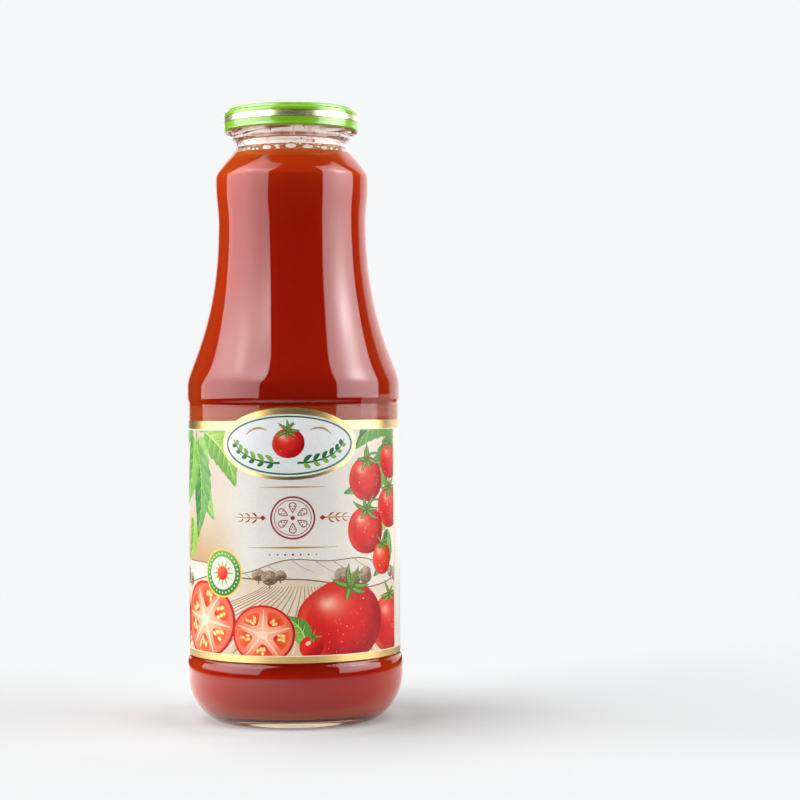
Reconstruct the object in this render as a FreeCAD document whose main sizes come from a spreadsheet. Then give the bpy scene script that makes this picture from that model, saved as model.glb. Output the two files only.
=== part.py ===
import FreeCAD, Part
import os
import Sketcher

# Tomato juice bottle: a 1 litre clear glass juice bottle with a four-lug finish,
# a printed steel lug cap, a clear wrap-around film label whose end laps over its
# start, tomato juice up to the neck and a ring of foam on the juice.
#
# Frame: origin at the centre of the foot ring, +Z up the bottle's axis, the
# label's front towards -Y.  All sizes in millimetres.
#
# Every piece is turned about Z, so each profile is drawn in its body's XZ plane
# with radius along sketch X and height along sketch Y.

SIZES = [
    # base and heel
    ("foot_inner_radius", 32.2), ("foot_outer_radius", 33.9), ("push_up_height", 1.8),
    ("push_up_flat", 12.0), ("heel_start", 0.8), ("heel_rise", 12.8),
    ("bulge_radius", 44.7), ("bulge_low", 18.9), ("bulge_high", 20.8),
    # recessed label panel
    ("panel_radius", 43.55), ("panel_low", 27.0), ("panel_high", 129.6), ("step_ease", 3.1), ("top_ease", 1.8),
    ("step_corner_radius", 44.0), ("step_corner_height", 26.0),
    # shoulder, waist and neck swell
    ("shoulder_radius", 44.3), ("shoulder_low", 133.2), ("shoulder_high", 138.2),
    ("shoulder_turn", 7.5), ("waist_radius", 30.85), ("waist_height", 205.65), ("waist_ease", 42.5),
    ("swell_radius", 31.8), ("swell_low", 221.2), ("swell_high", 224.0), ("swell_ease", 6.2),
    ("neck_radius", 23.15), ("neck_low", 236.9), ("neck_turn", 3.7), ("neck_ease", 1.5),
    # finish: bead, land for the cap, lip
    ("bead_radius", 24.6), ("bead_foot", 238.5), ("bead_low", 240.4), ("bead_high", 241.6),
    ("bead_ease", 0.9), ("land_radius", 24.1), ("land_low", 242.8), ("lip_low", 249.6),
    ("lip_round", 1.5), ("lip_height", 251.2),
    # inside of the glass
    ("wall", 2.55), ("neck_wall", 2.4), ("bore_radius", 20.8), ("floor_height", 5.9),
    ("floor_edge_radius", 29.9), ("floor_edge_height", 4.85), ("corner_ease", 8.0),
    ("bore_lead", 0.8),
    # thread lugs
    ("lug_root_radius", 23.8), ("lug_crest_radius", 25.6), ("lug_start", 241.7), ("lug_root_half", 0.85),
    ("lug_crest_half", 0.4), ("lug_pitch", 15.0), ("lug_rise", 3.0), ("lug_count", 4),
    # contents
    ("juice_level", 233.4), ("foam_top", 235.3), ("foam_inner_radius", 17.9),
    # cap
    ("cap_radius", 28.1), ("cap_side_low", 244.5), ("cap_side_high", 250.0), ("cap_height", 252.4),
    ("cap_rim_radius", 26.6), ("cap_rim_inner", 23.6), ("cap_panel_radius", 22.6), ("cap_panel_drop", 0.7),
    ("cap_ledge_height", 251.1), ("cap_round", 0.8), ("cap_sheet", 0.45), ("curl_radius", 0.8),
    ("cap_lug_inner", 24.9), ("cap_lug_width", 6.0), ("cap_lug_low", 242.95), ("cap_lug_thick", 0.55),
    # film label
    ("film", 0.2), ("film_low", 27.5), ("film_high", 129.6), ("lap_high", 133.9),
    ("lap_angle", 28.0), ("lap_low", 28.2),
]

TOP = 300.0     # well above everything: where the cutting profiles end
FAR = 80.0      # well outside everything

doc = FreeCAD.newDocument("tomato_juice_bottle")
sheet = doc.addObject("Spreadsheet::Sheet", "sizes")
for row, (word, number) in enumerate(SIZES, start=1):
    sheet.set("A%d" % row, word)
    sheet.set("B%d" % row, repr(number))
    sheet.setAlias("B%d" % row, word)
doc.recompute()


class Size:
    """A length together with the sheet expression that gives it."""

    def __init__(self, value, text):
        self.value, self.text = float(value), text

    def __add__(self, other):
        other = size(other)
        return Size(self.value + other.value, "(%s + %s)" % (self.text, other.text))

    def __sub__(self, other):
        other = size(other)
        return Size(self.value - other.value, "(%s - %s)" % (self.text, other.text))

    def __mul__(self, other):
        other = size(other)
        return Size(self.value * other.value, "(%s * %s)" % (self.text, other.text))


def size(item):
    if isinstance(item, Size):
        return item
    if isinstance(item, str):
        return Size(sheet.get(item), "sizes." + item)
    return Size(item, repr(float(item)))


def point(r, z):
    return size(r), size(z)


def plane(body, role):
    return [f for f in body.Origin.OriginFeatures if f.Role == role][0]


def new_sketch(body, name, role="XZ_Plane"):
    sketch = body.newObject("Sketcher::SketchObject", name)
    sketch.AttachmentSupport = (plane(body, role), [""])
    sketch.MapMode = "FlatFace"
    return sketch


def pin_point(sketch, geo, pos, x, y):
    """Fix a sketch point to its two sheet sizes."""
    for kind, axis_geo, q in (("DistanceX", -2, x), ("DistanceY", -1, y)):
        if q.value == 0.0:
            sketch.addConstraint(Sketcher.Constraint("PointOnObject", geo, pos, axis_geo))
        else:
            n = sketch.addConstraint(Sketcher.Constraint(kind, -1, 1, geo, pos, q.value))
            sketch.setExpression("Constraints[%d]" % n, q.text)


def draw_loop(sketch, start, steps):
    """Closed outline.  A step is an end point (a straight side) or two handles and an end
    point (a smooth curve through the ends, leaving and arriving along the handles)."""
    def vec(p):
        return FreeCAD.Vector(p[0].value, p[1].value, 0)
    steps = list(steps) + [(start,)]
    here, geos = start, []
    for step in steps:
        if len(step) == 1:
            geo = sketch.addGeometry(Part.LineSegment(vec(here), vec(step[0])), False)
            end = step[0]
        else:
            poles = [here] + list(step)
            curve = Part.BSplineCurve()
            curve.buildFromPolesMultsKnots([vec(p) for p in poles], [4, 4], [0.0, 1.0], False, 3)
            geo = sketch.addGeometry(curve, False)
            sketch.exposeInternalGeometry(geo)
            pin_point(sketch, geo + 2, 3, *poles[1])
            pin_point(sketch, geo + 3, 3, *poles[2])
            end = poles[3]
        geos.append(geo)
        here = end
    ends = [start] + [s[-1] for s in steps[:-1]]
    for k, geo in enumerate(geos):
        sketch.addConstraint(Sketcher.Constraint("Coincident", geos[k - 1], 2, geo, 1))
        pin_point(sketch, geo, 1, *ends[k])


def revolve(body, name, sketch, cut=False, angle=360.0):
    kind = "PartDesign::Groove" if cut else "PartDesign::Revolution"
    feature = body.newObject(kind, name)
    feature.Profile = sketch
    feature.ReferenceAxis = (sketch, ["V_Axis"])
    if isinstance(angle, Size):
        feature.Angle = angle.value
        feature.setExpression("Angle", angle.text)
    else:
        feature.Angle = angle
    before = body.Shape.Volume if cut else 0.0
    doc.recompute()
    if cut and not body.Shape.Volume < before - 1.0:
        raise RuntimeError("%s cut nothing" % name)
    return feature


def spin(angle):
    return FreeCAD.Placement(FreeCAD.Vector(0, 0, 0), FreeCAD.Rotation(FreeCAD.Vector(0, 0, 1), angle))


# ---------------------------------------------------------------- the glass bottle

def smooth(r0, z0, rise0, r1, z1, rise1):
    """A curve that leaves (r0, z0) and reaches (r1, z1) running straight up at both ends."""
    z0, z1 = size(z0), size(z1)
    return (point(r0, z0 + rise0), point(r1, z1 - rise1), point(r1, z1))


def cavity_steps(close_height):
    """The inside of the glass from the middle of its floor up to close_height, back to the axis."""
    w, nw = size("wall"), size("neck_wall")
    bulge, panel = size("bulge_radius") - w, size("panel_radius") - w
    shoulder, waist, swell = size("shoulder_radius") - w, size("waist_radius") - nw, size("swell_radius") - nw
    edge_r, edge_z = size("floor_edge_radius"), size("floor_edge_height")
    return [
        (point("push_up_flat", "floor_height"), point(edge_r - "corner_ease", edge_z), point(edge_r, edge_z)),
        (point(edge_r + "corner_ease", edge_z), point(bulge, edge_z + 4.0), point(bulge, "bulge_low")),
        (point(bulge, "bulge_high"),),
        smooth(bulge, "bulge_high", "step_ease", panel, "panel_low", "step_ease"),
        (point(panel, "panel_high"),),
        smooth(panel, "panel_high", "top_ease", shoulder, "shoulder_low", "top_ease"),
        (point(shoulder, "shoulder_high"),),
        smooth(shoulder, "shoulder_high", "shoulder_turn", waist, "waist_height", "waist_ease"),
        smooth(waist, "waist_height", "swell_ease", swell, "swell_low", "swell_ease"),
        (point(swell, size("swell_high") - 0.8),),
        smooth(swell, size("swell_high") - 0.8, "neck_turn", "bore_radius", size("neck_low") - 0.6, "neck_ease"),
        (point("bore_radius", size("lip_height") - "bore_lead"),),
        (point(size("bore_radius") + "bore_lead", "lip_height"),),
        (point(size("bore_radius") + "bore_lead", close_height),),
        (point(0.0, close_height),),
    ]


glass = doc.addObject("PartDesign::Body", "glass_bottle")
glass.Label = "glass_bottle"
sk = new_sketch(glass, "glass_outline")
draw_loop(sk, point(0.0, "push_up_height"), [
    # underside: a shallow push-up running out to the foot ring
    (point("push_up_flat", "push_up_height"), point(size("foot_inner_radius") - 5.0, 0.9), point("foot_inner_radius", 0.0)),
    (point("foot_outer_radius", 0.0),),
    # round heel
    (point(size("foot_outer_radius") + "heel_start", 0.0), point("bulge_radius", size("bulge_low") - "heel_rise"),
     point("bulge_radius", "bulge_low")),
    (point("bulge_radius", "bulge_high"),),
    # step into the recessed label panel, and out of it again
    (point("bulge_radius", size("bulge_high") + 3.0), point(size("bulge_radius") - 0.3, size("step_corner_height") - 0.4),
     point("step_corner_radius", "step_corner_height")),
    (point(size("step_corner_radius") - 0.25, size("step_corner_height") + 0.25),
     point("panel_radius", size("step_corner_height") + 0.5), point("panel_radius", "panel_low")),
    (point("panel_radius", "panel_high"),),
    smooth("panel_radius", "panel_high", "top_ease", "shoulder_radius", "shoulder_low", "top_ease"),
    (point("shoulder_radius", "shoulder_high"),),
    # long sloping shoulder down to the waist, and the swell under the neck
    smooth("shoulder_radius", "shoulder_high", "shoulder_turn", "waist_radius", "waist_height", "waist_ease"),
    smooth("waist_radius", "waist_height", "swell_ease", "swell_radius", "swell_low", "swell_ease"),
    (point("swell_radius", "swell_high"),),
    smooth("swell_radius", "swell_high", "neck_turn", "neck_radius", "neck_low", "neck_ease"),
    (point("neck_radius", "bead_foot"),),
    # bead under the cap, the land inside the cap and the lip it seals on
    smooth("neck_radius", "bead_foot", "bead_ease", "bead_radius", "bead_low", "bead_ease"),
    (point("bead_radius", "bead_high"),),
    smooth("bead_radius", "bead_high", 0.6, "land_radius", "land_low", 0.5),
    (point("land_radius", "lip_low"),),
    (point("land_radius", size("lip_low") + 0.9), point(size("land_radius") - 0.6, "lip_height"),
     point(size("land_radius") - "lip_round", "lip_height")),
    (point(0.0, "lip_height"),),
])
revolve(glass, "glass_blank", sk)
sk = new_sketch(glass, "cavity_outline")
draw_loop(sk, point(0.0, "floor_height"), cavity_steps(TOP))
revolve(glass, "cavity", sk, cut=True)

# one inclined thread lug, repeated round the finish
sk = new_sketch(glass, "lug_section")
draw_loop(sk, point("lug_root_radius", size("lug_start") - "lug_root_half"), [
    (point("lug_crest_radius", size("lug_start") - "lug_crest_half"),),
    (point("lug_crest_radius", size("lug_start") + "lug_crest_half"),),
    (point("lug_root_radius", size("lug_start") + "lug_root_half"),),
])
lug = glass.newObject("PartDesign::AdditiveHelix", "lug")
lug.Profile = sk
lug.ReferenceAxis = (sk, ["V_Axis"])
lug.Mode = 0
lug.setExpression("Pitch", "sizes.lug_pitch")
lug.setExpression("Height", "sizes.lug_rise")
without_lugs = glass.Shape.Volume
doc.recompute()
if not glass.Shape.Volume > without_lugs + 1.0:
    raise RuntimeError("the thread lug added nothing")
lugs = glass.newObject("PartDesign::PolarPattern", "lugs")
lugs.Originals = [lug]
lugs.Axis = (sk, ["V_Axis"])
lugs.Angle = 360.0
lugs.setExpression("Occurrences", "sizes.lug_count")
glass.Tip = lugs
doc.recompute()
glass.Placement = spin(37.0)

# ---------------------------------------------------------------- juice and foam

juice = doc.addObject("PartDesign::Body", "juice")
juice.Label = "juice"
sk = new_sketch(juice, "juice_outline")
draw_loop(sk, point(0.0, "floor_height"), cavity_steps(TOP))
revolve(juice, "juice_full", sk)
sk = new_sketch(juice, "above_level")
draw_loop(sk, point(0.0, "juice_level"), [(point(FAR, "juice_level"),), (point(FAR, TOP + 10),), (point(0.0, TOP + 10),)])
revolve(juice, "juice_top", sk, cut=True)
juice.Placement = spin(0.0)

foam = doc.addObject("PartDesign::Body", "foam")
foam.Label = "foam"
sk = new_sketch(foam, "foam_outline")
draw_loop(sk, point(0.0, "floor_height"), cavity_steps(TOP))
revolve(foam, "foam_full", sk)
sk = new_sketch(foam, "above_foam")
draw_loop(sk, point(0.0, "foam_top"), [(point(FAR, "foam_top"),), (point(FAR, TOP + 10),), (point(0.0, TOP + 10),)])
revolve(foam, "foam_crown", sk, cut=True)
sk = new_sketch(foam, "below_foam")
draw_loop(sk, point(0.0, 0.0), [(point(FAR, 0.0),), (point(FAR, "juice_level"),), (point(0.0, "juice_level"),)])
revolve(foam, "foam_underside", sk, cut=True)
sk = new_sketch(foam, "inside_foam")
draw_loop(sk, point(0.0, size("juice_level") - 10), [
    (point(size("foam_inner_radius") + 3.2, size("juice_level") - 10),),
    (point(size("foam_inner_radius") + 3.2, "juice_level"),),
    (point("foam_inner_radius", size("foam_top") + 0.01),),
    (point("foam_inner_radius", size("foam_top") + 10),),
    (point(0.0, size("foam_top") + 10),),
])
revolve(foam, "foam_bore", sk, cut=True)
foam.Placement = spin(0.0)

# ---------------------------------------------------------------- the lug cap

cap = doc.addObject("PartDesign::Body", "cap")
cap.Label = "cap"
sk = new_sketch(cap, "cap_section")
curl_r = size("cap_radius") + 0.15 - "curl_radius"
curl_z = size("cap_side_low") - "curl_radius"
k = 0.55
draw_loop(sk, point(0.0, size("cap_height") - "cap_panel_drop"), [
    # sunk panel, rounded rim ring
    (point("cap_panel_radius", size("cap_height") - "cap_panel_drop"),),
    (point(size("cap_panel_radius") + 0.5, size("cap_height") - "cap_panel_drop"),
     point(size("cap_rim_inner") - 0.5, "cap_height"), point("cap_rim_inner", "cap_height")),
    (point(size("cap_rim_radius") - "cap_round", "cap_height"),),
    (point(size("cap_rim_radius") - 0.3, "cap_height"), point("cap_rim_radius", size("cap_ledge_height") + 0.9),
     point("cap_rim_radius", size("cap_ledge_height") + 0.35)),
    # ledge and shoulder of the skirt
    (point("cap_rim_radius", size("cap_ledge_height") + 0.1), point(size("cap_rim_radius") + 0.1, "cap_ledge_height"),
     point(size("cap_rim_radius") + 0.3, "cap_ledge_height")),
    (point(size("cap_radius") - 0.5, "cap_ledge_height"), point("cap_radius", size("cap_side_high") + 0.6),
     point("cap_radius", "cap_side_high")),
    (point("cap_radius", "cap_side_low"),),
    # rolled curl at the foot of the skirt
    (point(size("cap_radius") + 0.1, size("cap_side_low") - 0.2), point(curl_r + "curl_radius", curl_z + size("curl_radius") * 0.4),
     point(curl_r + "curl_radius", curl_z)),
    (point(curl_r + "curl_radius", curl_z - size("curl_radius") * k), point(curl_r + size("curl_radius") * k, curl_z - "curl_radius"),
     point(curl_r, curl_z - "curl_radius")),
    (point(curl_r - size("curl_radius") * k, curl_z - "curl_radius"), point(curl_r - "curl_radius", curl_z - size("curl_radius") * k),
     point(curl_r - "curl_radius", curl_z)),
    (point(curl_r - "curl_radius", curl_z + size("curl_radius") * k), point(size("cap_radius") - "cap_sheet" - 0.5, curl_z + "curl_radius"),
     point(size("cap_radius") - "cap_sheet", curl_z + "curl_radius")),
    # inside of the skirt and the underside that seals on the lip
    (point(size("cap_radius") - "cap_sheet", size("cap_side_high") - 0.2),),
    (point(size("cap_radius") - "cap_sheet", size("cap_side_high") + 0.4), point(size("cap_radius") - "cap_sheet" - 0.5, size("cap_ledge_height") - "cap_sheet"),
     point(size("cap_rim_radius") + 0.1, size("cap_ledge_height") - "cap_sheet")),
    (point(size("cap_rim_radius") - 0.3, size("cap_ledge_height") - "cap_sheet"), point(size("cap_rim_radius") - 0.5, size("lip_height") - 0.1),
     point(size("cap_rim_radius") - 0.7, "lip_height")),
    (point(0.0, "lip_height"),),
])
revolve(cap, "cap_shell", sk)
sk = new_sketch(cap, "cap_lug_outline", "XY_Plane")
sk.AttachmentOffset = FreeCAD.Placement(FreeCAD.Vector(0, 0, size("cap_lug_low").value), FreeCAD.Rotation())
sk.setExpression("AttachmentOffset.Base.z", "sizes.cap_lug_low")
half = size("cap_lug_width") * 0.5
draw_loop(sk, point("cap_lug_inner", size(0.0) - half), [
    (point(curl_r, size(0.0) - half),), (point(curl_r, half),), (point("cap_lug_inner", half),)])
cap_lug = cap.newObject("PartDesign::Pad", "cap_lug")
cap_lug.Profile = sk
cap_lug.setExpression("Length", "sizes.cap_lug_thick")
without_lugs = cap.Shape.Volume
doc.recompute()
if not cap.Shape.Volume > without_lugs + 1.0:
    raise RuntimeError("the cap lug added nothing")
cap_lugs = cap.newObject("PartDesign::PolarPattern", "cap_lugs")
cap_lugs.Originals = [cap_lug]
cap_lugs.Axis = (plane(cap, "Z_Axis"), [""])
cap_lugs.Angle = 360.0
cap_lugs.setExpression("Occurrences", "sizes.lug_count")
cap.Tip = cap_lugs
doc.recompute()
cap.Placement = spin(103.0)      # each cap lug sits under the high end of a thread lug

# ---------------------------------------------------------------- the film label

label = doc.addObject("PartDesign::Body", "label")
label.Label = "label"
inner, outer = size("panel_radius"), size("panel_radius") + "film"
sk = new_sketch(label, "film_section")
draw_loop(sk, point(inner, "film_low"), [
    (point(outer, "film_low"),), (point(outer, "film_high"),), (point(inner, "film_high"),)])
revolve(label, "film_turn", sk)
# the lap: the film's end over its start, a little higher at the top, where it rides up on the step
sk = new_sketch(label, "lap_section")
crest = size("shoulder_radius") + 0.02
under = size("panel_radius") + size("film") * 0.5
draw_loop(sk, point(under, "lap_low"), [
    (point(outer + "film", "lap_low"),),
    (point(outer + "film", "panel_high"),),
    smooth(outer + "film", "panel_high", "top_ease", crest + "film", "shoulder_low", "top_ease"),
    (point(crest + "film", "lap_high"),),
    (point(crest, "lap_high"),),
    (point(crest, "shoulder_low"),),
    (point(crest, size("shoulder_low") - "top_ease"), point(under, size("panel_high") + "top_ease"),
     point(under, "panel_high")),
])
revolve(label, "lap", sk, angle=size("lap_angle"))
label.Placement = spin(-49.0)

# ---------------------------------------------------------------- checks and export

doc.recompute()
pieces = [glass, juice, foam, cap, label]
for obj in doc.Objects:
    if "Invalid" in obj.State or "Error" in obj.State:
        raise RuntimeError("%s failed: %s" % (obj.Label, obj.State))
for piece in pieces:
    shape = piece.Shape
    if shape.isNull() or not shape.isValid() or len(shape.Solids) != 1:
        raise RuntimeError("%s has no single valid solid" % piece.Label)

os.makedirs("parts", exist_ok=True)
for piece in pieces:
    piece.Shape.exportStep(os.path.join("parts", piece.Label + ".step"))
    b = piece.Shape.BoundBox
    print("%-13s volume %9.2f cm3  x %.2f..%.2f  y %.2f..%.2f  z %.2f..%.2f" % (
        piece.Label, piece.Shape.Volume / 1000.0, b.XMin, b.XMax, b.YMin, b.YMax, b.ZMin, b.ZMax))
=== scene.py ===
import bpy, math, random
import numpy as np
from mathutils import Vector, Matrix, geometry, noise


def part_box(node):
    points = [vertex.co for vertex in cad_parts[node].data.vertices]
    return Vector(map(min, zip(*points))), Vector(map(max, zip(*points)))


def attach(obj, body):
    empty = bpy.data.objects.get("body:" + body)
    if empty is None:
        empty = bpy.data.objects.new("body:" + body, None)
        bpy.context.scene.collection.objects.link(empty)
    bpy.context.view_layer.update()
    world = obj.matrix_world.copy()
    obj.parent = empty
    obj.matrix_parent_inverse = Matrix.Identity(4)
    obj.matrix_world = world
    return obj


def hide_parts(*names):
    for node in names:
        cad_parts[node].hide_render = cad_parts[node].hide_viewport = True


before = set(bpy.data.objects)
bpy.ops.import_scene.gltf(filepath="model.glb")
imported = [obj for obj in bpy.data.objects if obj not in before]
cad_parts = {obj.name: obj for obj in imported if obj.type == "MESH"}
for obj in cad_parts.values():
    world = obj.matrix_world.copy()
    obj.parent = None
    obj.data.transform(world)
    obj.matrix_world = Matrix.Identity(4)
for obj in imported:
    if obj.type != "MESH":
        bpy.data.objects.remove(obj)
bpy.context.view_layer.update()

MM = 0.001
TAU = 2 * math.pi


def box_mm(node):
    lo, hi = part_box(node)
    return [c / MM for c in lo], [c / MM for c in hi]


GLASS_LO, GLASS_HI = box_mm("glass_bottle")
JUICE_LO, JUICE_HI = box_mm("juice")
FOAM_LO, FOAM_HI = box_mm("foam")
CAP_LO, CAP_HI = box_mm("cap")
LABEL_LO, LABEL_HI = box_mm("label")

# ------------------------------------------------------------------ sizes (mm), as in the CAD
FOOT_IN, FOOT_OUT, PUSH, PUSH_FLAT = 32.2, 33.9, 1.8, 12.0
BULGE, BULGE_LOW, BULGE_HIGH = GLASS_HI[0], 18.9, 20.8
PANEL, PANEL_LOW, PANEL_HIGH, STEP, TOPSTEP = 43.55, 27.0, 129.6, 3.1, 1.8
STEP_R, STEP_Z = 44.0, 26.0                     # corner of the step under the label
SHOULDER, SHOULDER_LOW, SHOULDER_HIGH, SHOULDER_TURN = 44.3, 133.2, 138.2, 7.5
WAIST, WAIST_Z, WAIST_EASE = 30.85, 205.65, 42.5
SWELL, SWELL_LOW, SWELL_HIGH, SWELL_EASE = 31.8, 221.2, 224.0, 6.2
NECK, NECK_LOW, NECK_TURN, NECK_EASE = 23.15, 236.9, 3.7, 1.5
BEAD, BEAD_FOOT, BEAD_LOW, BEAD_HIGH = 24.6, 238.5, 240.4, 241.6
LAND, LAND_LOW, LIP_LOW, LIP = 24.1, 242.8, 249.6, GLASS_HI[2]
WALL, NECK_WALL, BORE, FLOOR = 2.55, 2.4, 20.8, 5.9
EDGE_R, EDGE_Z = 29.9, JUICE_LO[2]
LEVEL, FOAM_TOP = JUICE_HI[2], FOAM_HI[2]
FILM = 0.2
FILM_LOW, FILM_HIGH, LAP_HIGH = LABEL_LO[2], 129.6, LABEL_HI[2]
LUG_START, LUG_PITCH, LUG_RISE, LUG_SPIN = 241.7, 15.0, 3.0, 37.0


def smoothstep(a, b, x):
    t = np.clip((np.asarray(x, float) - a) / (b - a), 0, 1)
    return t * t * (3 - 2 * t)


# ------------------------------------------------------------------ profiles

def run(points, *steps):
    """Adds steps to a profile: (n, end) a straight side, (n, handle, handle, end) a smooth curve."""
    for step in steps:
        n, rest = step[0], step[1:]
        a = points[-1]
        for i in range(1, n + 1):
            t = i / n
            if len(rest) == 1:
                b = rest[0]
                points.append((a[0] + (b[0] - a[0]) * t, a[1] + (b[1] - a[1]) * t))
            else:
                h, k, b = rest
                w = ((1 - t) ** 3, 3 * t * (1 - t) ** 2, 3 * t * t * (1 - t), t ** 3)
                points.append(tuple(w[0] * a[c] + w[1] * h[c] + w[2] * k[c] + w[3] * b[c] for c in (0, 1)))
    return points


def rise(n, r0, z0, e0, r1, z1, e1=None):
    e1 = e0 if e1 is None else e1
    return (n, (r0, z0 + e0), (r1, z1 - e1), (r1, z1))


def outer_profile():
    p = [(0.0, PUSH)]
    return run(p,
               (14, (PUSH_FLAT, PUSH), (FOOT_IN - 5, 0.9), (FOOT_IN, 0.0)),
               (3, (FOOT_OUT, 0.0)),
               (26, (FOOT_OUT + 0.8, 0.0), (BULGE, BULGE_LOW - 12.8), (BULGE, BULGE_LOW)),
               (2, (BULGE, BULGE_HIGH)),
               (16, (BULGE, BULGE_HIGH + 3.0), (BULGE - 0.3, STEP_Z - 0.4), (STEP_R, STEP_Z)),
               (6, (STEP_R - 0.25, STEP_Z + 0.25), (PANEL, STEP_Z + 0.5), (PANEL, PANEL_LOW)),
               (24, (PANEL, PANEL_HIGH)),
               rise(12, PANEL, PANEL_HIGH, TOPSTEP, SHOULDER, SHOULDER_LOW),
               (3, (SHOULDER, SHOULDER_HIGH)),
               rise(44, SHOULDER, SHOULDER_HIGH, SHOULDER_TURN, WAIST, WAIST_Z, WAIST_EASE),
               rise(12, WAIST, WAIST_Z, SWELL_EASE, SWELL, SWELL_LOW),
               (2, (SWELL, SWELL_HIGH)),
               rise(26, SWELL, SWELL_HIGH, NECK_TURN, NECK, NECK_LOW, NECK_EASE),
               (2, (NECK, BEAD_FOOT)),
               rise(10, NECK, BEAD_FOOT, 0.9, BEAD, BEAD_LOW),
               (3, (BEAD, BEAD_HIGH)),
               (6, (BEAD, BEAD_HIGH + 0.6), (LAND, LAND_LOW - 0.5), (LAND, LAND_LOW)),
               (40, (LAND, LIP_LOW)),
               (8, (LAND, LIP_LOW + 0.9), (LAND - 0.6, LIP), (LAND - 1.5, LIP)))


def inner_profile(out=0.0, top=None):
    """From the middle of the floor up the inside; out pushes it that far into the wall."""
    w, nw = WALL - out, NECK_WALL - out
    bulge, panel, shoulder = BULGE - w, PANEL - w, SHOULDER - w
    waist, swell, bore = WAIST - nw, SWELL - nw, BORE + out
    fl, ez = FLOOR - out, EDGE_Z - out
    p = [(0.0, fl)]
    run(p,
        (14, (PUSH_FLAT, fl), (EDGE_R - 8, ez), (EDGE_R, ez)),
        (18, (EDGE_R + 8 + out * 0.5, ez), (bulge, ez + 4), (bulge, BULGE_LOW)),
        (2, (bulge, BULGE_HIGH)),
        rise(10, bulge, BULGE_HIGH, STEP, panel, PANEL_LOW),
        (20, (panel, PANEL_HIGH)),
        rise(8, panel, PANEL_HIGH, TOPSTEP, shoulder, SHOULDER_LOW),
        (3, (shoulder, SHOULDER_HIGH)),
        rise(36, shoulder, SHOULDER_HIGH, SHOULDER_TURN, waist, WAIST_Z, WAIST_EASE),
        rise(10, waist, WAIST_Z, SWELL_EASE, swell, SWELL_LOW),
        (2, (swell, SWELL_HIGH - 0.8)),
        rise(26, swell, SWELL_HIGH - 0.8, NECK_TURN, bore, NECK_LOW - 0.6, NECK_EASE))
    if top is None:
        run(p, (12, (bore, LIP - 0.8)), (4, (bore, LIP - 0.3), (bore + 0.4, LIP), (bore + 0.8, LIP)))
        return p
    cut = [q for q in p if q[1] < top - 0.05 or q[0] > bore + 3]
    cut = []
    for a, b in zip(p, p[1:]):
        cut.append(a)
        if b[1] >= top and a[1] > FLOOR:
            t = (top - a[1]) / (b[1] - a[1])
            cut.append((a[0] + (b[0] - a[0]) * t, top))
            break
    return cut


def inner_radius(z, out=0.0):
    p = [q for q in inner_profile(out)[14:]]
    zs, rs = np.array([q[1] for q in p]), np.array([q[0] for q in p])
    o = np.argsort(zs, kind="stable")
    return float(np.interp(z, zs[o], rs[o]))


def outer_radius(z):
    p = [q for q in outer_profile()[17:]]
    zs, rs = np.array([q[1] for q in p]), np.array([q[0] for q in p])
    o = np.argsort(zs, kind="stable")
    return float(np.interp(z, zs[o], rs[o]))


# ------------------------------------------------------------------ mesh helpers

def make_object(name, verts, faces, material=None, smooth=True):
    mesh = bpy.data.meshes.new(name)
    mesh.from_pydata([tuple(v) for v in verts], [], faces)
    mesh.validate()
    if smooth:
        mesh.polygons.foreach_set("use_smooth", [True] * len(mesh.polygons))
    mesh.update()
    ob = bpy.data.objects.new(name, mesh)
    bpy.context.scene.collection.objects.link(ob)
    if material:
        mesh.materials.append(material)
    return ob


def lathe(profile, segments, shape=None):
    """Vertices (metres) and faces of a profile turned about Z.  Points on the axis are single.
    shape(theta, r, z, index) may return a changed (r, z)."""
    verts, faces, rings = [], [], []
    for k, (r, z) in enumerate(profile):
        if r < 1e-9:
            rings.append([len(verts)])
            verts.append((0.0, 0.0, z * MM))
            continue
        ring = []
        for j in range(segments):
            th = TAU * j / segments
            rr, zz = (r, z) if shape is None else shape(th, r, z, k)
            ring.append(len(verts))
            verts.append((rr * math.cos(th) * MM, rr * math.sin(th) * MM, zz * MM))
        rings.append(ring)
    for a, b in zip(rings, rings[1:]):
        for j in range(segments):
            i = (j + 1) % segments
            if len(a) == 1 and len(b) == 1:
                continue
            if len(a) == 1:
                faces.append((a[0], b[i], b[j]))
            elif len(b) == 1:
                faces.append((a[j], a[i], b[0]))
            else:
                faces.append((a[j], a[i], b[i], b[j]))
    return verts, faces


def close_lathe(verts, faces, segments, first, last):
    """Joins the last ring to the first, for a profile that is a loop off the axis."""
    for j in range(segments):
        i = (j + 1) % segments
        faces.append((last + j, last + i, first + i, first + j))


# ------------------------------------------------------------------ material helpers

def node_material(name):
    m = bpy.data.materials.new(name)
    m.use_nodes = True
    nt = m.node_tree
    nt.nodes.clear()
    out = nt.nodes.new("ShaderNodeOutputMaterial")
    return m, nt, out


def add(nt, kind, **values):
    n = nt.nodes.new(kind)
    for key, v in values.items():
        if key in n.inputs.keys():
            n.inputs[key].default_value = v
        else:
            setattr(n, key, v)
    return n


def math_node(nt, op, a, b=None, clamp=False):
    n = nt.nodes.new("ShaderNodeMath")
    n.operation = op
    n.use_clamp = clamp
    for k, v in enumerate((a, b)):
        if v is None:
            continue
        if isinstance(v, (int, float)):
            n.inputs[k].default_value = v
        else:
            nt.links.new(v, n.inputs[k])
    return n.outputs[0]


def lin(r, g, b):
    """sRGB 0..255 to linear."""
    return tuple((c / 255 / 12.92) if c / 255 <= 0.04045 else ((c / 255 + 0.055) / 1.055) ** 2.4 for c in (r, g, b))


# ------------------------------------------------------------------ materials

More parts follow.
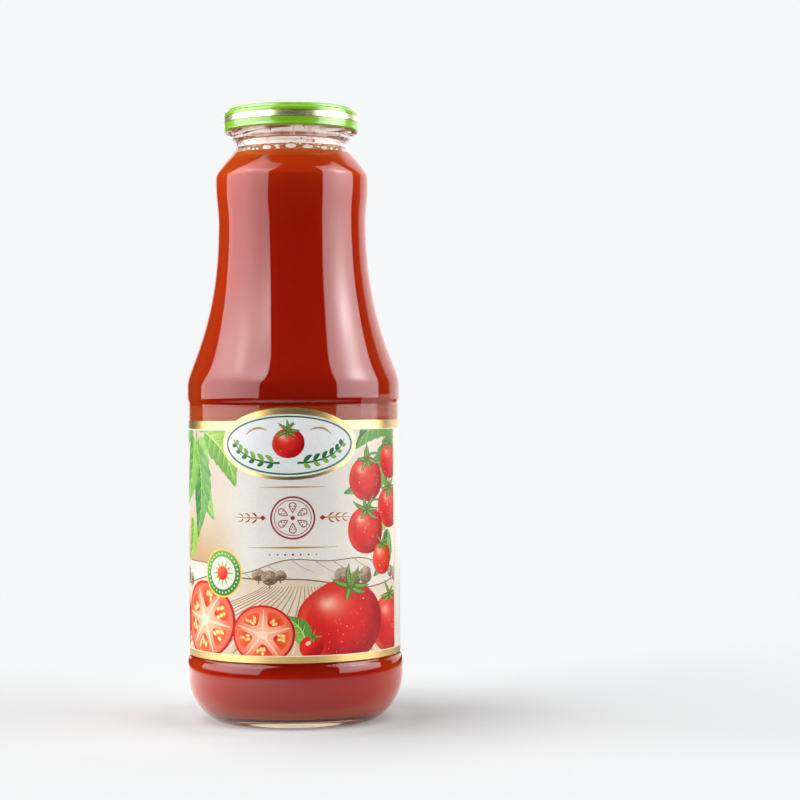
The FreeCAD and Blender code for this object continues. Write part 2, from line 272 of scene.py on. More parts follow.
def glass_material(name, tint=(0.98, 0.992, 0.975), ior=1.5):
    m, nt, out = node_material(name)
    p = add(nt, "ShaderNodeBsdfPrincipled")
    # the thick glass of the foot shows its yellow-green more than the wall does
    tc = add(nt, "ShaderNodeTexCoord")
    sep = add(nt, "ShaderNodeSeparateXYZ")
    nt.links.new(tc.outputs["Object"], sep.inputs[0])
    foot = add(nt, "ShaderNodeMapRange", interpolation_type="SMOOTHSTEP")
    nt.links.new(sep.outputs["Z"], foot.inputs["Value"])
    foot.inputs["From Min"].default_value = 4.2 * MM
    foot.inputs["From Max"].default_value = 2.2 * MM
    deep = add(nt, "ShaderNodeMix", data_type="RGBA")
    deep.inputs[6].default_value = (*tint, 1)
    deep.inputs[7].default_value = (0.90, 0.885, 0.75, 1)
    nt.links.new(foot.outputs["Result"], deep.inputs[0])
    nt.links.new(deep.outputs[2], p.inputs["Base Color"])
    p.inputs["Roughness"].default_value = 0.0
    p.inputs["IOR"].default_value = ior
    p.inputs["Transmission Weight"].default_value = 1.0
    clear = add(nt, "ShaderNodeBsdfTransparent")
    clear.inputs["Color"].default_value = (0.955, 0.96, 0.955, 1)
    path = add(nt, "ShaderNodeLightPath")
    lamps = math_node(nt, "MAXIMUM", path.outputs["Is Shadow Ray"], path.outputs["Is Diffuse Ray"])
    mix = add(nt, "ShaderNodeMixShader")
    nt.links.new(lamps, mix.inputs[0])
    nt.links.new(p.outputs[0], mix.inputs[1])
    nt.links.new(clear.outputs[0], mix.inputs[2])
    nt.links.new(mix.outputs[0], out.inputs["Surface"])
    return m


SHEEN = 0.18


def juice_material():
    m, nt, out = node_material("tomato_juice")
    tc = add(nt, "ShaderNodeTexCoord")
    n1 = add(nt, "ShaderNodeTexNoise", Scale=60.0, Detail=4.0, Roughness=0.6)
    nt.links.new(tc.outputs["Object"], n1.inputs["Vector"])
    n2 = add(nt, "ShaderNodeTexVoronoi", Scale=420.0)
    nt.links.new(tc.outputs["Object"], n2.inputs["Vector"])
    spots = add(nt, "ShaderNodeValToRGB")
    spots.color_ramp.elements[0].position = 0.05
    spots.color_ramp.elements[0].color = (1, 1, 1, 1)
    spots.color_ramp.elements[1].position = 0.11
    spots.color_ramp.elements[1].color = (0, 0, 0, 1)
    nt.links.new(n2.outputs["Distance"], spots.inputs[0])
    # lighter and more orange towards the top: painted light for the neck's upward-facing swell, lit from above, and
    # near the surface the juice's own froth and pulp
    sep = add(nt, "ShaderNodeSeparateXYZ")
    nt.links.new(tc.outputs["Object"], sep.inputs[0])
    z0, z1 = 150.0 * MM, LEVEL * MM
    up = add(nt, "ShaderNodeMapRange")
    nt.links.new(sep.outputs["Z"], up.inputs["Value"])
    up.inputs["From Min"].default_value = z0
    up.inputs["From Max"].default_value = z1
    stir = add(nt, "ShaderNodeMath", operation="MULTIPLY_ADD")
    nt.links.new(n1.outputs["Fac"], stir.inputs[0])
    stir.inputs[1].default_value = 0.03
    nt.links.new(up.outputs["Result"], stir.inputs[2])
    base = add(nt, "ShaderNodeValToRGB")
    # colours by height, with painted light in them as well as the juice's own tone
    tone_and_painted_light_by_height = ((150.0, (0.365, 0.0080, 0.0005)), (178.0, (0.415, 0.0080, 0.0005)), (203.0, (0.450, 0.0090, 0.0006)),
             (219.5, (0.52, 0.0180, 0.0012)), (226.0, (0.50, 0.0330, 0.0024)), (230.0, (0.50, 0.0440, 0.0036)),
             (232.8, (0.55, 0.0980, 0.0140)))
    ramp = base.color_ramp
    for k, (z, colour) in enumerate(tone_and_painted_light_by_height):
        at = min(1.0, (z - 150.0) / (LEVEL - 150.0) + 0.015)
        e = ramp.elements[k] if k < 2 else ramp.elements.new(at)
        e.position = at
        e.color = (*colour, 1)
    nt.links.new(stir.outputs[0], base.inputs[0])
    fleck = add(nt, "ShaderNodeMix", data_type="RGBA")
    fleck.inputs[7].default_value = (0.62, 0.085, 0.018, 1)
    nt.links.new(base.outputs[0], fleck.inputs[6])
    few = math_node(nt, "MULTIPLY", spots.outputs[0], 0.5)
    nt.links.new(few, fleck.inputs[0])
    p = add(nt, "ShaderNodeBsdfPrincipled")
    nt.links.new(fleck.outputs[2], p.inputs["Base Color"])
    p.inputs["Roughness"].default_value = 0.25
    p.inputs["IOR"].default_value = 1.34
    p.inputs["Specular IOR Level"].default_value = 0.0
    p.inputs["Subsurface Weight"].default_value = 1.0
    p.inputs["Subsurface Radius"].default_value = (1.0, 0.22, 0.08)
    p.inputs["Subsurface Scale"].default_value = 0.004
    # glass is denser than juice: seen at a low angle from inside the glass, the face turns into a mirror
    f = add(nt, "ShaderNodeFresnel")
    f.inputs["IOR"].default_value = 1.34 / 1.5
    g = add(nt, "ShaderNodeBsdfGlossy")
    g.inputs["Roughness"].default_value = 0.04
    # the pulp that lies against the wall dulls the mirror and colours it, less so over the settled floor
    low = add(nt, "ShaderNodeMapRange", interpolation_type="SMOOTHSTEP")
    nt.links.new(sep.outputs["Z"], low.inputs["Value"])
    low.inputs["From Min"].default_value = 5.6 * MM
    low.inputs["From Max"].default_value = 7.6 * MM
    film = add(nt, "ShaderNodeMix", data_type="RGBA")
    film.inputs[6].default_value = (0.98, 0.96, 0.90, 1)
    film.inputs[7].default_value = (0.96, 0.84, 0.77, 1)
    nt.links.new(low.outputs["Result"], film.inputs[0])
    nt.links.new(film.outputs[2], g.inputs["Color"])
    clean = add(nt, "ShaderNodeMapRange")
    nt.links.new(low.outputs["Result"], clean.inputs["Value"])
    clean.inputs["To Min"].default_value = 1.0
    clean.inputs["To Max"].default_value = 0.84
    face = add(nt, "ShaderNodeMixShader")
    nt.links.new(math_node(nt, "MULTIPLY", f.outputs[0], clean.outputs["Result"]), face.inputs[0])
    # pulp against the wall gives an orange sheen where the face is seen at a low angle
    rim = add(nt, "ShaderNodeLayerWeight")
    rim.inputs["Blend"].default_value = 0.5
    turn = add(nt, "ShaderNodeMapRange", interpolation_type="SMOOTHSTEP")
    nt.links.new(rim.outputs["Facing"], turn.inputs["Value"])
    turn.inputs["From Min"].default_value = 0.13
    turn.inputs["From Max"].default_value = 0.25
    fuzz = add(nt, "ShaderNodeBsdfSheen")
    fuzz.inputs["Roughness"].default_value = 0.8
    hue = add(nt, "ShaderNodeVectorMath", operation="SCALE")
    hue.inputs[0].default_value = (SHEEN, SHEEN * 0.60, SHEEN * 0.06)
    nt.links.new(turn.outputs["Result"], hue.inputs["Scale"])
    nt.links.new(hue.outputs["Vector"], fuzz.inputs["Color"])
    pulp = add(nt, "ShaderNodeAddShader")
    nt.links.new(p.outputs[0], pulp.inputs[0])
    nt.links.new(fuzz.outputs[0], pulp.inputs[1])
    nt.links.new(pulp.outputs[0], face.inputs[1])
    nt.links.new(g.outputs[0], face.inputs[2])
    nt.links.new(face.outputs[0], out.inputs["Surface"])
    return m


def floor_material(pale):
    """Matt pale floor, with painted light and shadow in its colour near the foot and a painted sheen for glossy rays.
    Far out it turns into the plain pale background for the camera, and ends for other rays.
    """
    m, nt, out = node_material("pale_floor")
    tc = add(nt, "ShaderNodeTexCoord")
    length = add(nt, "ShaderNodeVectorMath", operation="LENGTH")
    nt.links.new(tc.outputs["Object"], length.inputs[0])

    def fade(a, b):
        ramp = add(nt, "ShaderNodeMapRange", interpolation_type="SMOOTHERSTEP")
        nt.links.new(length.outputs["Value"], ramp.inputs["Value"])
        ramp.inputs["From Min"].default_value = a
        ramp.inputs["From Max"].default_value = b
        return ramp.outputs["Result"]

    noise_t = add(nt, "ShaderNodeTexNoise", Scale=9.0, Detail=5.0)
    nt.links.new(tc.outputs["Object"], noise_t.inputs["Vector"])
    tone = add(nt, "ShaderNodeMix", data_type="RGBA")
    tone.inputs[6].default_value = (*FLOOR_TONE, 1)
    tone.inputs[7].default_value = (*[c * 1.02 for c in FLOOR_TONE], 1)
    nt.links.new(noise_t.outputs["Fac"], tone.inputs[0])
    p = add(nt, "ShaderNodeBsdfDiffuse")
    nt.links.new(tone.outputs[2], p.inputs["Color"])
    open_floor = add(nt, "ShaderNodeBsdfDiffuse")
    # painted light and painted shadow in the floor's colour: a little lighter close to the foot, darker on the side
    # away from the larger light
    place = add(nt, "ShaderNodeSeparateXYZ")
    nt.links.new(tc.outputs["Object"], place.inputs[0])

    def reach(source, a, b, lo, hi):
        r = add(nt, "ShaderNodeMapRange", interpolation_type="SMOOTHSTEP")
        nt.links.new(source, r.inputs["Value"])
        r.inputs["From Min"].default_value = a
        r.inputs["From Max"].default_value = b
        r.inputs["To Min"].default_value = lo
        r.inputs["To Max"].default_value = hi
        return r.outputs["Result"]

    close = reach(length.outputs["Value"], 0.056, 0.035, 1.0, 1.32)
    about = reach(length.outputs["Value"], 0.14, 0.05, 0.0, 1.0)
    painted_side_light_and_shadow = math_node(nt, "MULTIPLY", about, reach(place.outputs["X"], -0.055, 0.055, 0.07, -0.17))
    painted_light_scale = math_node(nt, "ADD", close, painted_side_light_and_shadow)
    lit = add(nt, "ShaderNodeVectorMath", operation="SCALE")
    lit.inputs[0].default_value = (0.562, 0.57, 0.577)
    nt.links.new(painted_light_scale, lit.inputs["Scale"])
    nt.links.new(lit.outputs["Vector"], open_floor.inputs["Color"])
    e = add(nt, "ShaderNodeEmission")
    e.inputs["Color"].default_value = (*pale, 1)
    clear = add(nt, "ShaderNodeBsdfTransparent")
    path = add(nt, "ShaderNodeLightPath")
    seen = math_node(nt, "MAXIMUM", path.outputs["Is Camera Ray"], path.outputs["Is Transmission Ray"])
    shown = add(nt, "ShaderNodeMixShader")
    nt.links.new(fade(0.30, 1.1), shown.inputs[0])
    nt.links.new(open_floor.outputs[0], shown.inputs[1])
    nt.links.new(e.outputs[0], shown.inputs[2])
    # painted sheen: an emission that only glossy rays see, stronger towards the larger light, stands in for the table's
    # low sheen, which the foot of the bottle mirrors
    sep = add(nt, "ShaderNodeSeparateXYZ")
    nt.links.new(tc.outputs["Object"], sep.inputs[0])
    side = add(nt, "ShaderNodeMapRange", interpolation_type="SMOOTHSTEP")
    nt.links.new(sep.outputs["X"], side.inputs["Value"])
    side.inputs["From Min"].default_value = 0.06
    side.inputs["From Max"].default_value = -0.16
    side.inputs["To Min"].default_value = 0.10
    side.inputs["To Max"].default_value = 1.10
    sheen = add(nt, "ShaderNodeEmission")
    nt.links.new(math_node(nt, "MULTIPLY", side.outputs["Result"], path.outputs["Is Glossy Ray"]), sheen.inputs["Strength"])
    with_painted_sheen = add(nt, "ShaderNodeAddShader")
    nt.links.new(p.outputs[0], with_painted_sheen.inputs[0])
    nt.links.new(sheen.outputs[0], with_painted_sheen.inputs[1])
    other = add(nt, "ShaderNodeMixShader")
    nt.links.new(fade(0.16, 0.30), other.inputs[0])
    nt.links.new(with_painted_sheen.outputs[0], other.inputs[1])
    nt.links.new(clear.outputs[0], other.inputs[2])
    mix = add(nt, "ShaderNodeMixShader")
    nt.links.new(seen, mix.inputs[0])
    nt.links.new(other.outputs[0], mix.inputs[1])
    nt.links.new(shown.outputs[0], mix.inputs[2])
    nt.links.new(mix.outputs[0], out.inputs["Surface"])
    return m


# ------------------------------------------------------------------ studio

PALE = lin(245, 247, 249)
FLOOR_TONE = (0.545, 0.552, 0.56)

scene = bpy.context.scene
scene.view_settings.view_transform = "Standard"
scene.view_settings.look = "None"
scene.view_settings.exposure = 0.0
scene.view_settings.gamma = 1.0
scene.cycles.max_bounces = 32
scene.cycles.transmission_bounces = 24
scene.cycles.transparent_max_bounces = 16
scene.cycles.glossy_bounces = 20
scene.cycles.sample_clamp_indirect = 6.0

cam_data = bpy.data.cameras.new("camera")
cam_data.lens = 94.5
cam_data.sensor_width = 36.0
cam_data.clip_start, cam_data.clip_end = 0.02, 60.0
cam = bpy.data.objects.new("camera", cam_data)
scene.collection.objects.link(cam)
cam.rotation_mode = "QUATERNION"
look = Vector((0, 1, 0)).to_track_quat("-Z", "Y")
roll = Matrix.Rotation(math.radians(0.45), 4, "Y").to_quaternion()
cam.rotation_quaternion = roll @ look
cam.location = (0.04440, -0.876, 0.1316)
scene.camera = cam


def studio_level(nt, vector, soft):
    """Brightness of the soft studio light seen in a direction: a wide soft panel on the left with two
    brighter patches, a narrower one on the right with a hot centre, a pale wall behind, and a dark front.
    soft leaves the patches out and fills the front a little, for the light that surfaces receive."""
    sep = nt.nodes.new("ShaderNodeSeparateXYZ")
    nt.links.new(vector, sep.inputs[0])
    x, y, z = sep.outputs
    # azimuth in degrees: 0 towards -Y (the front), + towards +X
    az = math_node(nt, "MULTIPLY", math_node(nt, "ARCTAN2", x, math_node(nt, "MULTIPLY", y, -1.0)), 180 / math.pi)
    el = math_node(nt, "MULTIPLY", math_node(nt, "ARCSINE", z), 180 / math.pi)

    def ramp(v, a, b):
        n = nt.nodes.new("ShaderNodeMapRange")
        n.interpolation_type = "SMOOTHSTEP"
        nt.links.new(v, n.inputs["Value"])
        n.inputs["From Min"].default_value = a
        n.inputs["From Max"].default_value = b
        return n.outputs["Result"]

    def times(*v):
        out = v[0]
        for w in v[1:]:
            out = math_node(nt, "MULTIPLY", out, w)
        return out

    def plus(*v):
        out = v[0]
        for w in v[1:]:
            out = math_node(nt, "ADD", out, w)
        return out

    def band(v, a, b, s, s2=None):
        s2 = s if s2 is None else s2
        return times(ramp(v, a - s, a + s), ramp(v, b + s2, b - s2))

    def bump(v, at, width, height):
        d = math_node(nt, "DIVIDE", math_node(nt, "SUBTRACT", v, at), width)
        e = math_node(nt, "POWER", 0.3679, times(d, d))
        return times(e, height)

    lean = math_node(nt, "SUBTRACT", az, times(el, 0.17))
    if soft:
        left = times(band(lean, -124.0, -48.0, 6.0), band(el, -6.0, 52.0, 6.0, 8.0), SOFT_LEFT)
        right = times(band(az, 48.0, 110.0, 6.0), band(el, -6.0, 50.0, 6.0, 8.0), SOFT_RIGHT)
        rest = plus(times(band(az, -30.0, 36.0, 16.0), ramp(el, -14.0, 0.0), SOFT_FRONT),
                    times(ramp(el, 52.0, 76.0), SOFT_TOP))
        back = times(plus(ramp(az, 112.0, 132.0), ramp(az, -118.0, -138.0)), band(el, -10.0, 60.0, 8.0), SOFT_BACK)
    else:
        glow = plus(3.1, bump(az, -71.0, 20.0, 1.3), times(bump(el, 33.0, 13.0, 2.6), ramp(az, -117.0, -88.0)),
                    times(bump(az, -34.0, 11.0, 1.7), bump(el, 29.0, 12.0, 1.0)),
                    times(bump(az, -66.0, 8.0, 2.0), bump(el, 36.0, 7.0, 1.0)),
                    times(ramp(el, 42.0, 66.0), -1.3))
        left = times(band(lean, -112.0, -33.4, 0.9), band(el, -7.0, 70.0, 2.5, 3.0), glow)
        glow = plus(3.6, times(bump(az, 77.0, 24.0, 1.9), ramp(el, -12.0, 8.0)),
                    times(bump(az, 79.0, 17.0, 2.6), bump(el, 27.0, 13.0, 1.0)),
                    times(bump(az, 80.0, 11.0, 6.0), bump(el, 26.0, 9.0, 1.0)),
                    times(ramp(el, 38.0, 56.0), -1.8))
        far = math_node(nt, "SUBTRACT", az, times(el, 0.12))
        right = times(ramp(az, 48.4, 50.2), ramp(far, 105.5, 103.7), band(el, -7.0, 57.0, 2.5, 3.0), glow)
        rest = 0.012
        back = times(plus(ramp(az, 124.0, 131.0), ramp(az, -149.0, -156.0)), band(el, -12.0, 46.0, 3.0, 5.0),
                     plus(1.15, times(ramp(az, 124.0, 150.0), 0.2)))
    return plus(left, right, back, rest)


SOFT_LEFT, SOFT_RIGHT, SOFT_FRONT, SOFT_TOP, SOFT_BACK = 4.0, 3.3, 0.08, 2.7, 1.0

world = bpy.data.worlds.new("studio")
scene.world = world
world.use_nodes = True
world.cycles_visibility.glossy = False
wt = world.node_tree
wt.nodes.clear()
w_out = wt.nodes.new("ShaderNodeOutputWorld")
w_tc = wt.nodes.new("ShaderNodeTexCoord")
w_light = wt.nodes.new("ShaderNodeBackground")
w_light.inputs["Color"].default_value = (1.0, 1.0, 1.0, 1)
wt.links.new(studio_level(wt, w_tc.outputs["Generated"], True), w_light.inputs["Strength"])
w_pale = wt.nodes.new("ShaderNodeBackground")
w_pale.inputs["Color"].default_value = (*PALE, 1)
w_pale.inputs["Strength"].default_value = 1.0
w_path = wt.nodes.new("ShaderNodeLightPath")
w_mix = wt.nodes.new("ShaderNodeMixShader")
wt.links.new(math_node(wt, "MAXIMUM", w_path.outputs["Is Camera Ray"], w_path.outputs["Is Transmission Ray"]), w_mix.inputs[0])
wt.links.new(w_light.outputs[0], w_mix.inputs[1])
wt.links.new(w_pale.outputs[0], w_mix.inputs[2])
wt.links.new(w_mix.outputs[0], w_out.inputs["Surface"])

# the same light as a dome about a metre away, which only reflections see
dome_r, dome_z = 0.95, 0.13
dome_profile = [(dome_r * math.cos(math.radians(e)) / MM, dome_r * math.sin(math.radians(e)) / MM)
                for e in range(-8, 90, 7)]
dv, df = lathe(dome_profile, 72)
dm, dnt, dout = node_material("studio_dome")
d_tc = dnt.nodes.new("ShaderNodeTexCoord")
d_unit = dnt.nodes.new("ShaderNodeVectorMath")
d_unit.operation = "NORMALIZE"
dnt.links.new(d_tc.outputs["Object"], d_unit.inputs[0])
d_em = dnt.nodes.new("ShaderNodeEmission")
# light that has gone round inside the clear neck comes from all over the pale room, so it finds no dark front
d_path = dnt.nodes.new("ShaderNodeLightPath")
d_inside = math_node(dnt, "MULTIPLY", math_node(dnt, "GREATER_THAN", d_path.outputs["Transmission Depth"], 0.5), 0.55)
dnt.links.new(math_node(dnt, "MAXIMUM", studio_level(dnt, d_unit.outputs[0], False), d_inside), d_em.inputs["Strength"])
dnt.links.new(d_em.outputs[0], dout.inputs["Surface"])
dm.cycles.emission_sampling = "NONE"
dome = make_object("studio_dome", dv, df, dm, smooth=True)
dome.location.z = dome_z
for flag in ("visible_camera", "visible_diffuse", "visible_transmission", "visible_shadow", "visible_volume_scatter"):
    setattr(dome, flag, False)

# round pale floor, a little below the foot ring
rings = [0.0, 0.05, 0.1, 0.2, 0.35, 0.6, 1.0, 2.0, 4.0, 8.0]
fv, ff = lathe([(r / MM, 0.0) for r in rings], 96)
floor = make_object("floor", fv, ff, floor_material(PALE), smooth=False)
floor.location.z = -0.00005

# ------------------------------------------------------------------ the glass bottle

GLASS_SEG = 224


def lug_height(th, z):
    """How far the thread lugs stand out of the land at this angle and height."""
    best = 0.0
    for k in range(4):
        a = (math.degrees(th) - LUG_SPIN - 90 * k) % 360
        if a > 340:
            a -= 360
        if -4 < a < 76:
            zc = LUG_START + LUG_PITCH * max(a, 0) / 360
            ends = float(smoothstep(-4, 4, a) * smoothstep(76, 68, a))
            d = abs(z - zc)
            best = max(best, (LUG_CREST - LAND) * ends * float(smoothstep(0.95, 0.35, d)))
    return best


LUG_CREST = 25.2
outer = outer_profile()
inner = inner_profile()
n_outer = len(outer)


def glass_shape(th, r, z, k):
    if k < n_outer:
        if 240.2 < z < LIP_LOW and r > 23:
            r = max(r, LAND + lug_height(th, z)) if lug_height(th, z) > 0 else r
        if 6 < z < 236 and not (PANEL_LOW - 1 < z < PANEL_HIGH + 1):
            q = noise.noise(Vector((math.cos(th) * 1.6, math.sin(th) * 1.6, z / 26.0)))
            r += 0.05 * q - 0.03
    else:
        if 12 < z < 236:
            q = noise.noise(Vector((math.cos(th) * 1.9 + 7, math.sin(th) * 1.9, z / 22.0)))
            r += 0.10 * q
    return r, z


gv, gf = lathe(outer + inner[::-1], GLASS_SEG, glass_shape)
glass = make_object("bottle_glass", gv, gf, glass_material("clear_glass"))
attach(glass, "root")
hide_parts("glass_bottle")

# ------------------------------------------------------------------ the juice

jp = inner_profile(out=0.22, top=LEVEL)
top_r = jp[-1][0]
run(jp, (3, (top_r - 1.2, LEVEL - 0.35)), (10, (0.0, LEVEL - 0.45)))
jv, jf = lathe(jp, 160)
juice = make_object("juice_fill", jv, jf, juice_material())
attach(juice, "root")
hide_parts("juice")

# ------------------------------------------------------------------ the lug cap

CAP_SEG = 216
CAP_LIFT = 0.3
CAP_TOP = CAP_HI[2]
CURL_R, CURL_Z, CURL = 27.45, 243.7, 0.8
SKIRT, SKIRT_IN = 28.1, 27.65
STRIPE_LO, STRIPE_HI, LINE = 246.75, 248.95, 0.28
CAP_LUG_R, CAP_LUG_SPIN, CAP_LUG_HALF = 24.9, 103.0, 7.2
GREEN_ZONE, LINE_ZONE, STRIPE_ZONE, INSIDE_ZONE = 0, 1, 2, 3

cap_pts = [(0.0, 251.7)]
cap_zone = []


def cap_run(zone, *steps):
    before = len(cap_pts)
    run(cap_pts, *steps)
    cap_zone.extend([zone] * (len(cap_pts) - before))


cap_run(GREEN_ZONE, (10, (22.0, 251.72)), (6, (22.8, 251.72), (22.9, 252.35), (23.7, CAP_TOP)), (4, (25.6, CAP_TOP)),
        (7, (26.3, CAP_TOP), (26.55, 252.0), (26.6, 251.5)), (4, (26.6, 251.2), (26.7, 251.12), (26.9, 251.1)),
        (8, (27.7, 251.05), (SKIRT, 250.7), (SKIRT, 250.0)), (2, (SKIRT, STRIPE_HI + LINE)))
cap_run(LINE_ZONE, (1, (SKIRT + 0.02, STRIPE_HI)))
cap_run(STRIPE_ZONE, (4, (SKIRT + 0.02, STRIPE_LO)))
cap_run(LINE_ZONE, (1, (SKIRT, STRIPE_LO - LINE)))
cap_run(GREEN_ZONE, (5, (SKIRT, CURL_Z + 0.5)))
cap_run(GREEN_ZONE, *[(1, (CURL_R + CURL * math.cos(math.radians(a)), CURL_Z + CURL * math.sin(math.radians(a))))
                      for a in range(25, -86, -10)])
curl_from = len(cap_pts)
cap_run(INSIDE_ZONE, *[(1, (CURL_R + CURL * math.cos(math.radians(a)), CURL_Z + CURL * math.sin(math.radians(a))))
                      for a in range(-95, -275, -15)])
curl_to = len(cap_pts)
cap_run(INSIDE_ZONE, (1, (SKIRT_IN, CURL_Z + 0.85)), (6, (SKIRT_IN, 249.8)),
        (6, (SKIRT_IN, 250.8), (27.0, 251.2), (26.4, 251.2)), (3, (25.0, 251.2)), (4, (22.3, 251.0)), (8, (0.0, 251.15)))


def cap_shape(th, r, z, k):
    if curl_from <= k < curl_to:
        a = (math.degrees(th) - CAP_LUG_SPIN + 45) % 90 - 45
        w = float(smoothstep(CAP_LUG_HALF, CAP_LUG_HALF - 2.2, abs(a)))
        if w > 0:
            t = (k - curl_from) / (curl_to - 1 - curl_from)      # 0 at the bottom, 1 at the top of the curl
            reach = math.sin(math.pi * min(1.0, t * 1.25)) if t < 0.8 else 0.0
            r2 = r + (CAP_LUG_R - r) * reach
            z2 = z + (min(z, 243.55) - z) * min(1, 2 * reach)
            r, z = r + (r2 - r) * w, z + (z2 - z) * w
    if SKIRT - 0.2 < r and k < curl_from:
        q = noise.noise(Vector((math.cos(th) * 2.2, math.sin(th) * 2.2, z / 9.0)))
        r += 0.03 * q
    return r, z + CAP_LIFT


cv, cf = lathe(cap_pts, CAP_SEG, cap_shape)
# faces run segment by segment along the profile
cap_faces_zone = []
for k, zone in enumerate(cap_zone):
    cap_faces_zone += [zone] * CAP_SEG


def lacquer(name, base, shade, coat_rough=0.09, peel=0.5):
    """Printed tinplate: an ink coat under gloss lacquer, with a faint orange peel and soft tone changes."""
    m, nt, out = node_material(name)
    tc = add(nt, "ShaderNodeTexCoord")
    big = add(nt, "ShaderNodeTexNoise", Scale=70.0, Detail=4.0)
    nt.links.new(tc.outputs["Object"], big.inputs["Vector"])
    tone = add(nt, "ShaderNodeMix", data_type="RGBA")
    tone.inputs[6].default_value = (*base, 1)
    tone.inputs[7].default_value = (*shade, 1)
    nt.links.new(big.outputs["Fac"], tone.inputs[0])
    fine = add(nt, "ShaderNodeTexNoise", Scale=1500.0, Detail=2.0)
    nt.links.new(tc.outputs["Object"], fine.inputs["Vector"])
    skin = add(nt, "ShaderNodeBump")
    skin.inputs["Strength"].default_value = 0.10 * peel
    skin.inputs["Distance"].default_value = 0.0001
    nt.links.new(fine.outputs["Fac"], skin.inputs["Height"])
    p = add(nt, "ShaderNodeBsdfPrincipled")
    nt.links.new(tone.outputs[2], p.inputs["Base Color"])
    p.inputs["Roughness"].default_value = 0.32
    p.inputs["Specular IOR Level"].default_value = 0.5
    p.inputs["Coat Weight"].default_value = 0.85
    p.inputs["Coat Roughness"].default_value = coat_rough
    p.inputs["Coat IOR"].default_value = 1.55
    nt.links.new(skin.outputs["Normal"], p.inputs["Normal"])
    nt.links.new(skin.outputs["Normal"], p.inputs["Coat Normal"])
    nt.links.new(p.outputs[0], out.inputs["Surface"])
    return m


def foil_stripe():
    """The gold line printed round the cap: fine rolled metal, softly brushed round the skirt."""
    m, nt, out = node_material("cap_gold_line")
    tc = add(nt, "ShaderNodeTexCoord")
    squash = add(nt, "ShaderNodeMapping")
    squash.inputs["Scale"].default_value = (60.0, 60.0, 4200.0)
    nt.links.new(tc.outputs["Object"], squash.inputs["Vector"])
    brushed = add(nt, "ShaderNodeTexNoise", Scale=1.0, Detail=3.0)
    nt.links.new(squash.outputs["Vector"], brushed.inputs["Vector"])
    tone = add(nt, "ShaderNodeMix", data_type="RGBA")
    tone.inputs[6].default_value = (0.86, 0.80, 0.49, 1)
    tone.inputs[7].default_value = (0.93, 0.875, 0.60, 1)
    nt.links.new(brushed.outputs["Fac"], tone.inputs[0])
    rough = add(nt, "ShaderNodeMapRange")
    nt.links.new(brushed.outputs["Fac"], rough.inputs["Value"])
    rough.inputs["To Min"].default_value = 0.20
    rough.inputs["To Max"].default_value = 0.34
    p = add(nt, "ShaderNodeBsdfPrincipled")
    nt.links.new(tone.outputs[2], p.inputs["Base Color"])
    nt.links.new(rough.outputs["Result"], p.inputs["Roughness"])
    p.inputs["Metallic"].default_value = 0.86
    nt.links.new(p.outputs[0], out.inputs["Surface"])
    return m


cap_mesh_ob = make_object("lug_cap", cv, cf)
cap_mesh = cap_mesh_ob.data
for m in (lacquer("cap_green", (0.262, 0.600, 0.0200), (0.224, 0.540, 0.0175)), lacquer("cap_dark_line", (0.11, 0.22, 0.014), (0.09, 0.19, 0.012)),
          foil_stripe(), lacquer("cap_inside", (0.66, 0.36, 0.16), (0.58, 0.29, 0.12), coat_rough=0.25, peel=1.0)):
    cap_mesh.materials.append(m)
cap_mesh.polygons.foreach_set("material_index", np.array(cap_faces_zone[:len(cap_mesh.polygons)], np.int32))
cap_mesh.set_sharp_from_angle(angle=math.radians(42))
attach(cap_mesh_ob, "root")
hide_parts("cap")

# ------------------------------------------------------------------ froth, bubbles and what the juice left on the neck

froth_rand = random.Random(73)
WALL_R = BORE                                   # inside of the neck


def froth_material():
    m, nt, out = node_material("juice_froth")
    tc = add(nt, "ShaderNodeTexCoord")
    cells = add(nt, "ShaderNodeTexVoronoi", Scale=900.0)
    cells.feature = "DISTANCE_TO_EDGE"
    nt.links.new(tc.outputs["Object"], cells.inputs["Vector"])
    wall = add(nt, "ShaderNodeMapRange")
    nt.links.new(cells.outputs["Distance"], wall.inputs["Value"])
    wall.inputs["From Min"].default_value = 0.02
    wall.inputs["From Max"].default_value = 0.16
    blotch = add(nt, "ShaderNodeTexNoise", Scale=330.0, Detail=4.0)
    nt.links.new(tc.outputs["Object"], blotch.inputs["Vector"])
    deep = add(nt, "ShaderNodeMix", data_type="RGBA")
    deep.inputs[6].default_value = (0.44, 0.075, 0.012, 1)
    deep.inputs[7].default_value = (0.62, 0.20, 0.05, 1)
    nt.links.new(blotch.outputs["Fac"], deep.inputs[0])
    tone = add(nt, "ShaderNodeMix", data_type="RGBA")
    tone.inputs[7].default_value = (0.80, 0.45, 0.22, 1)
    nt.links.new(deep.outputs[2], tone.inputs[6])
    nt.links.new(math_node(nt, "MULTIPLY", wall.outputs["Result"], 0.42), tone.inputs[0])
    bump = add(nt, "ShaderNodeBump")
    bump.inputs["Strength"].default_value = 0.6
    bump.inputs["Distance"].default_value = 0.0003
    nt.links.new(wall.outputs["Result"], bump.inputs["Height"])
    p = add(nt, "ShaderNodeBsdfPrincipled")
    nt.links.new(tone.outputs[2], p.inputs["Base Color"])
    p.inputs["Roughness"].default_value = 0.3
    nt.links.new(bump.outputs["Normal"], p.inputs["Normal"])
    nt.links.new(p.outputs[0], out.inputs["Surface"])
    return m


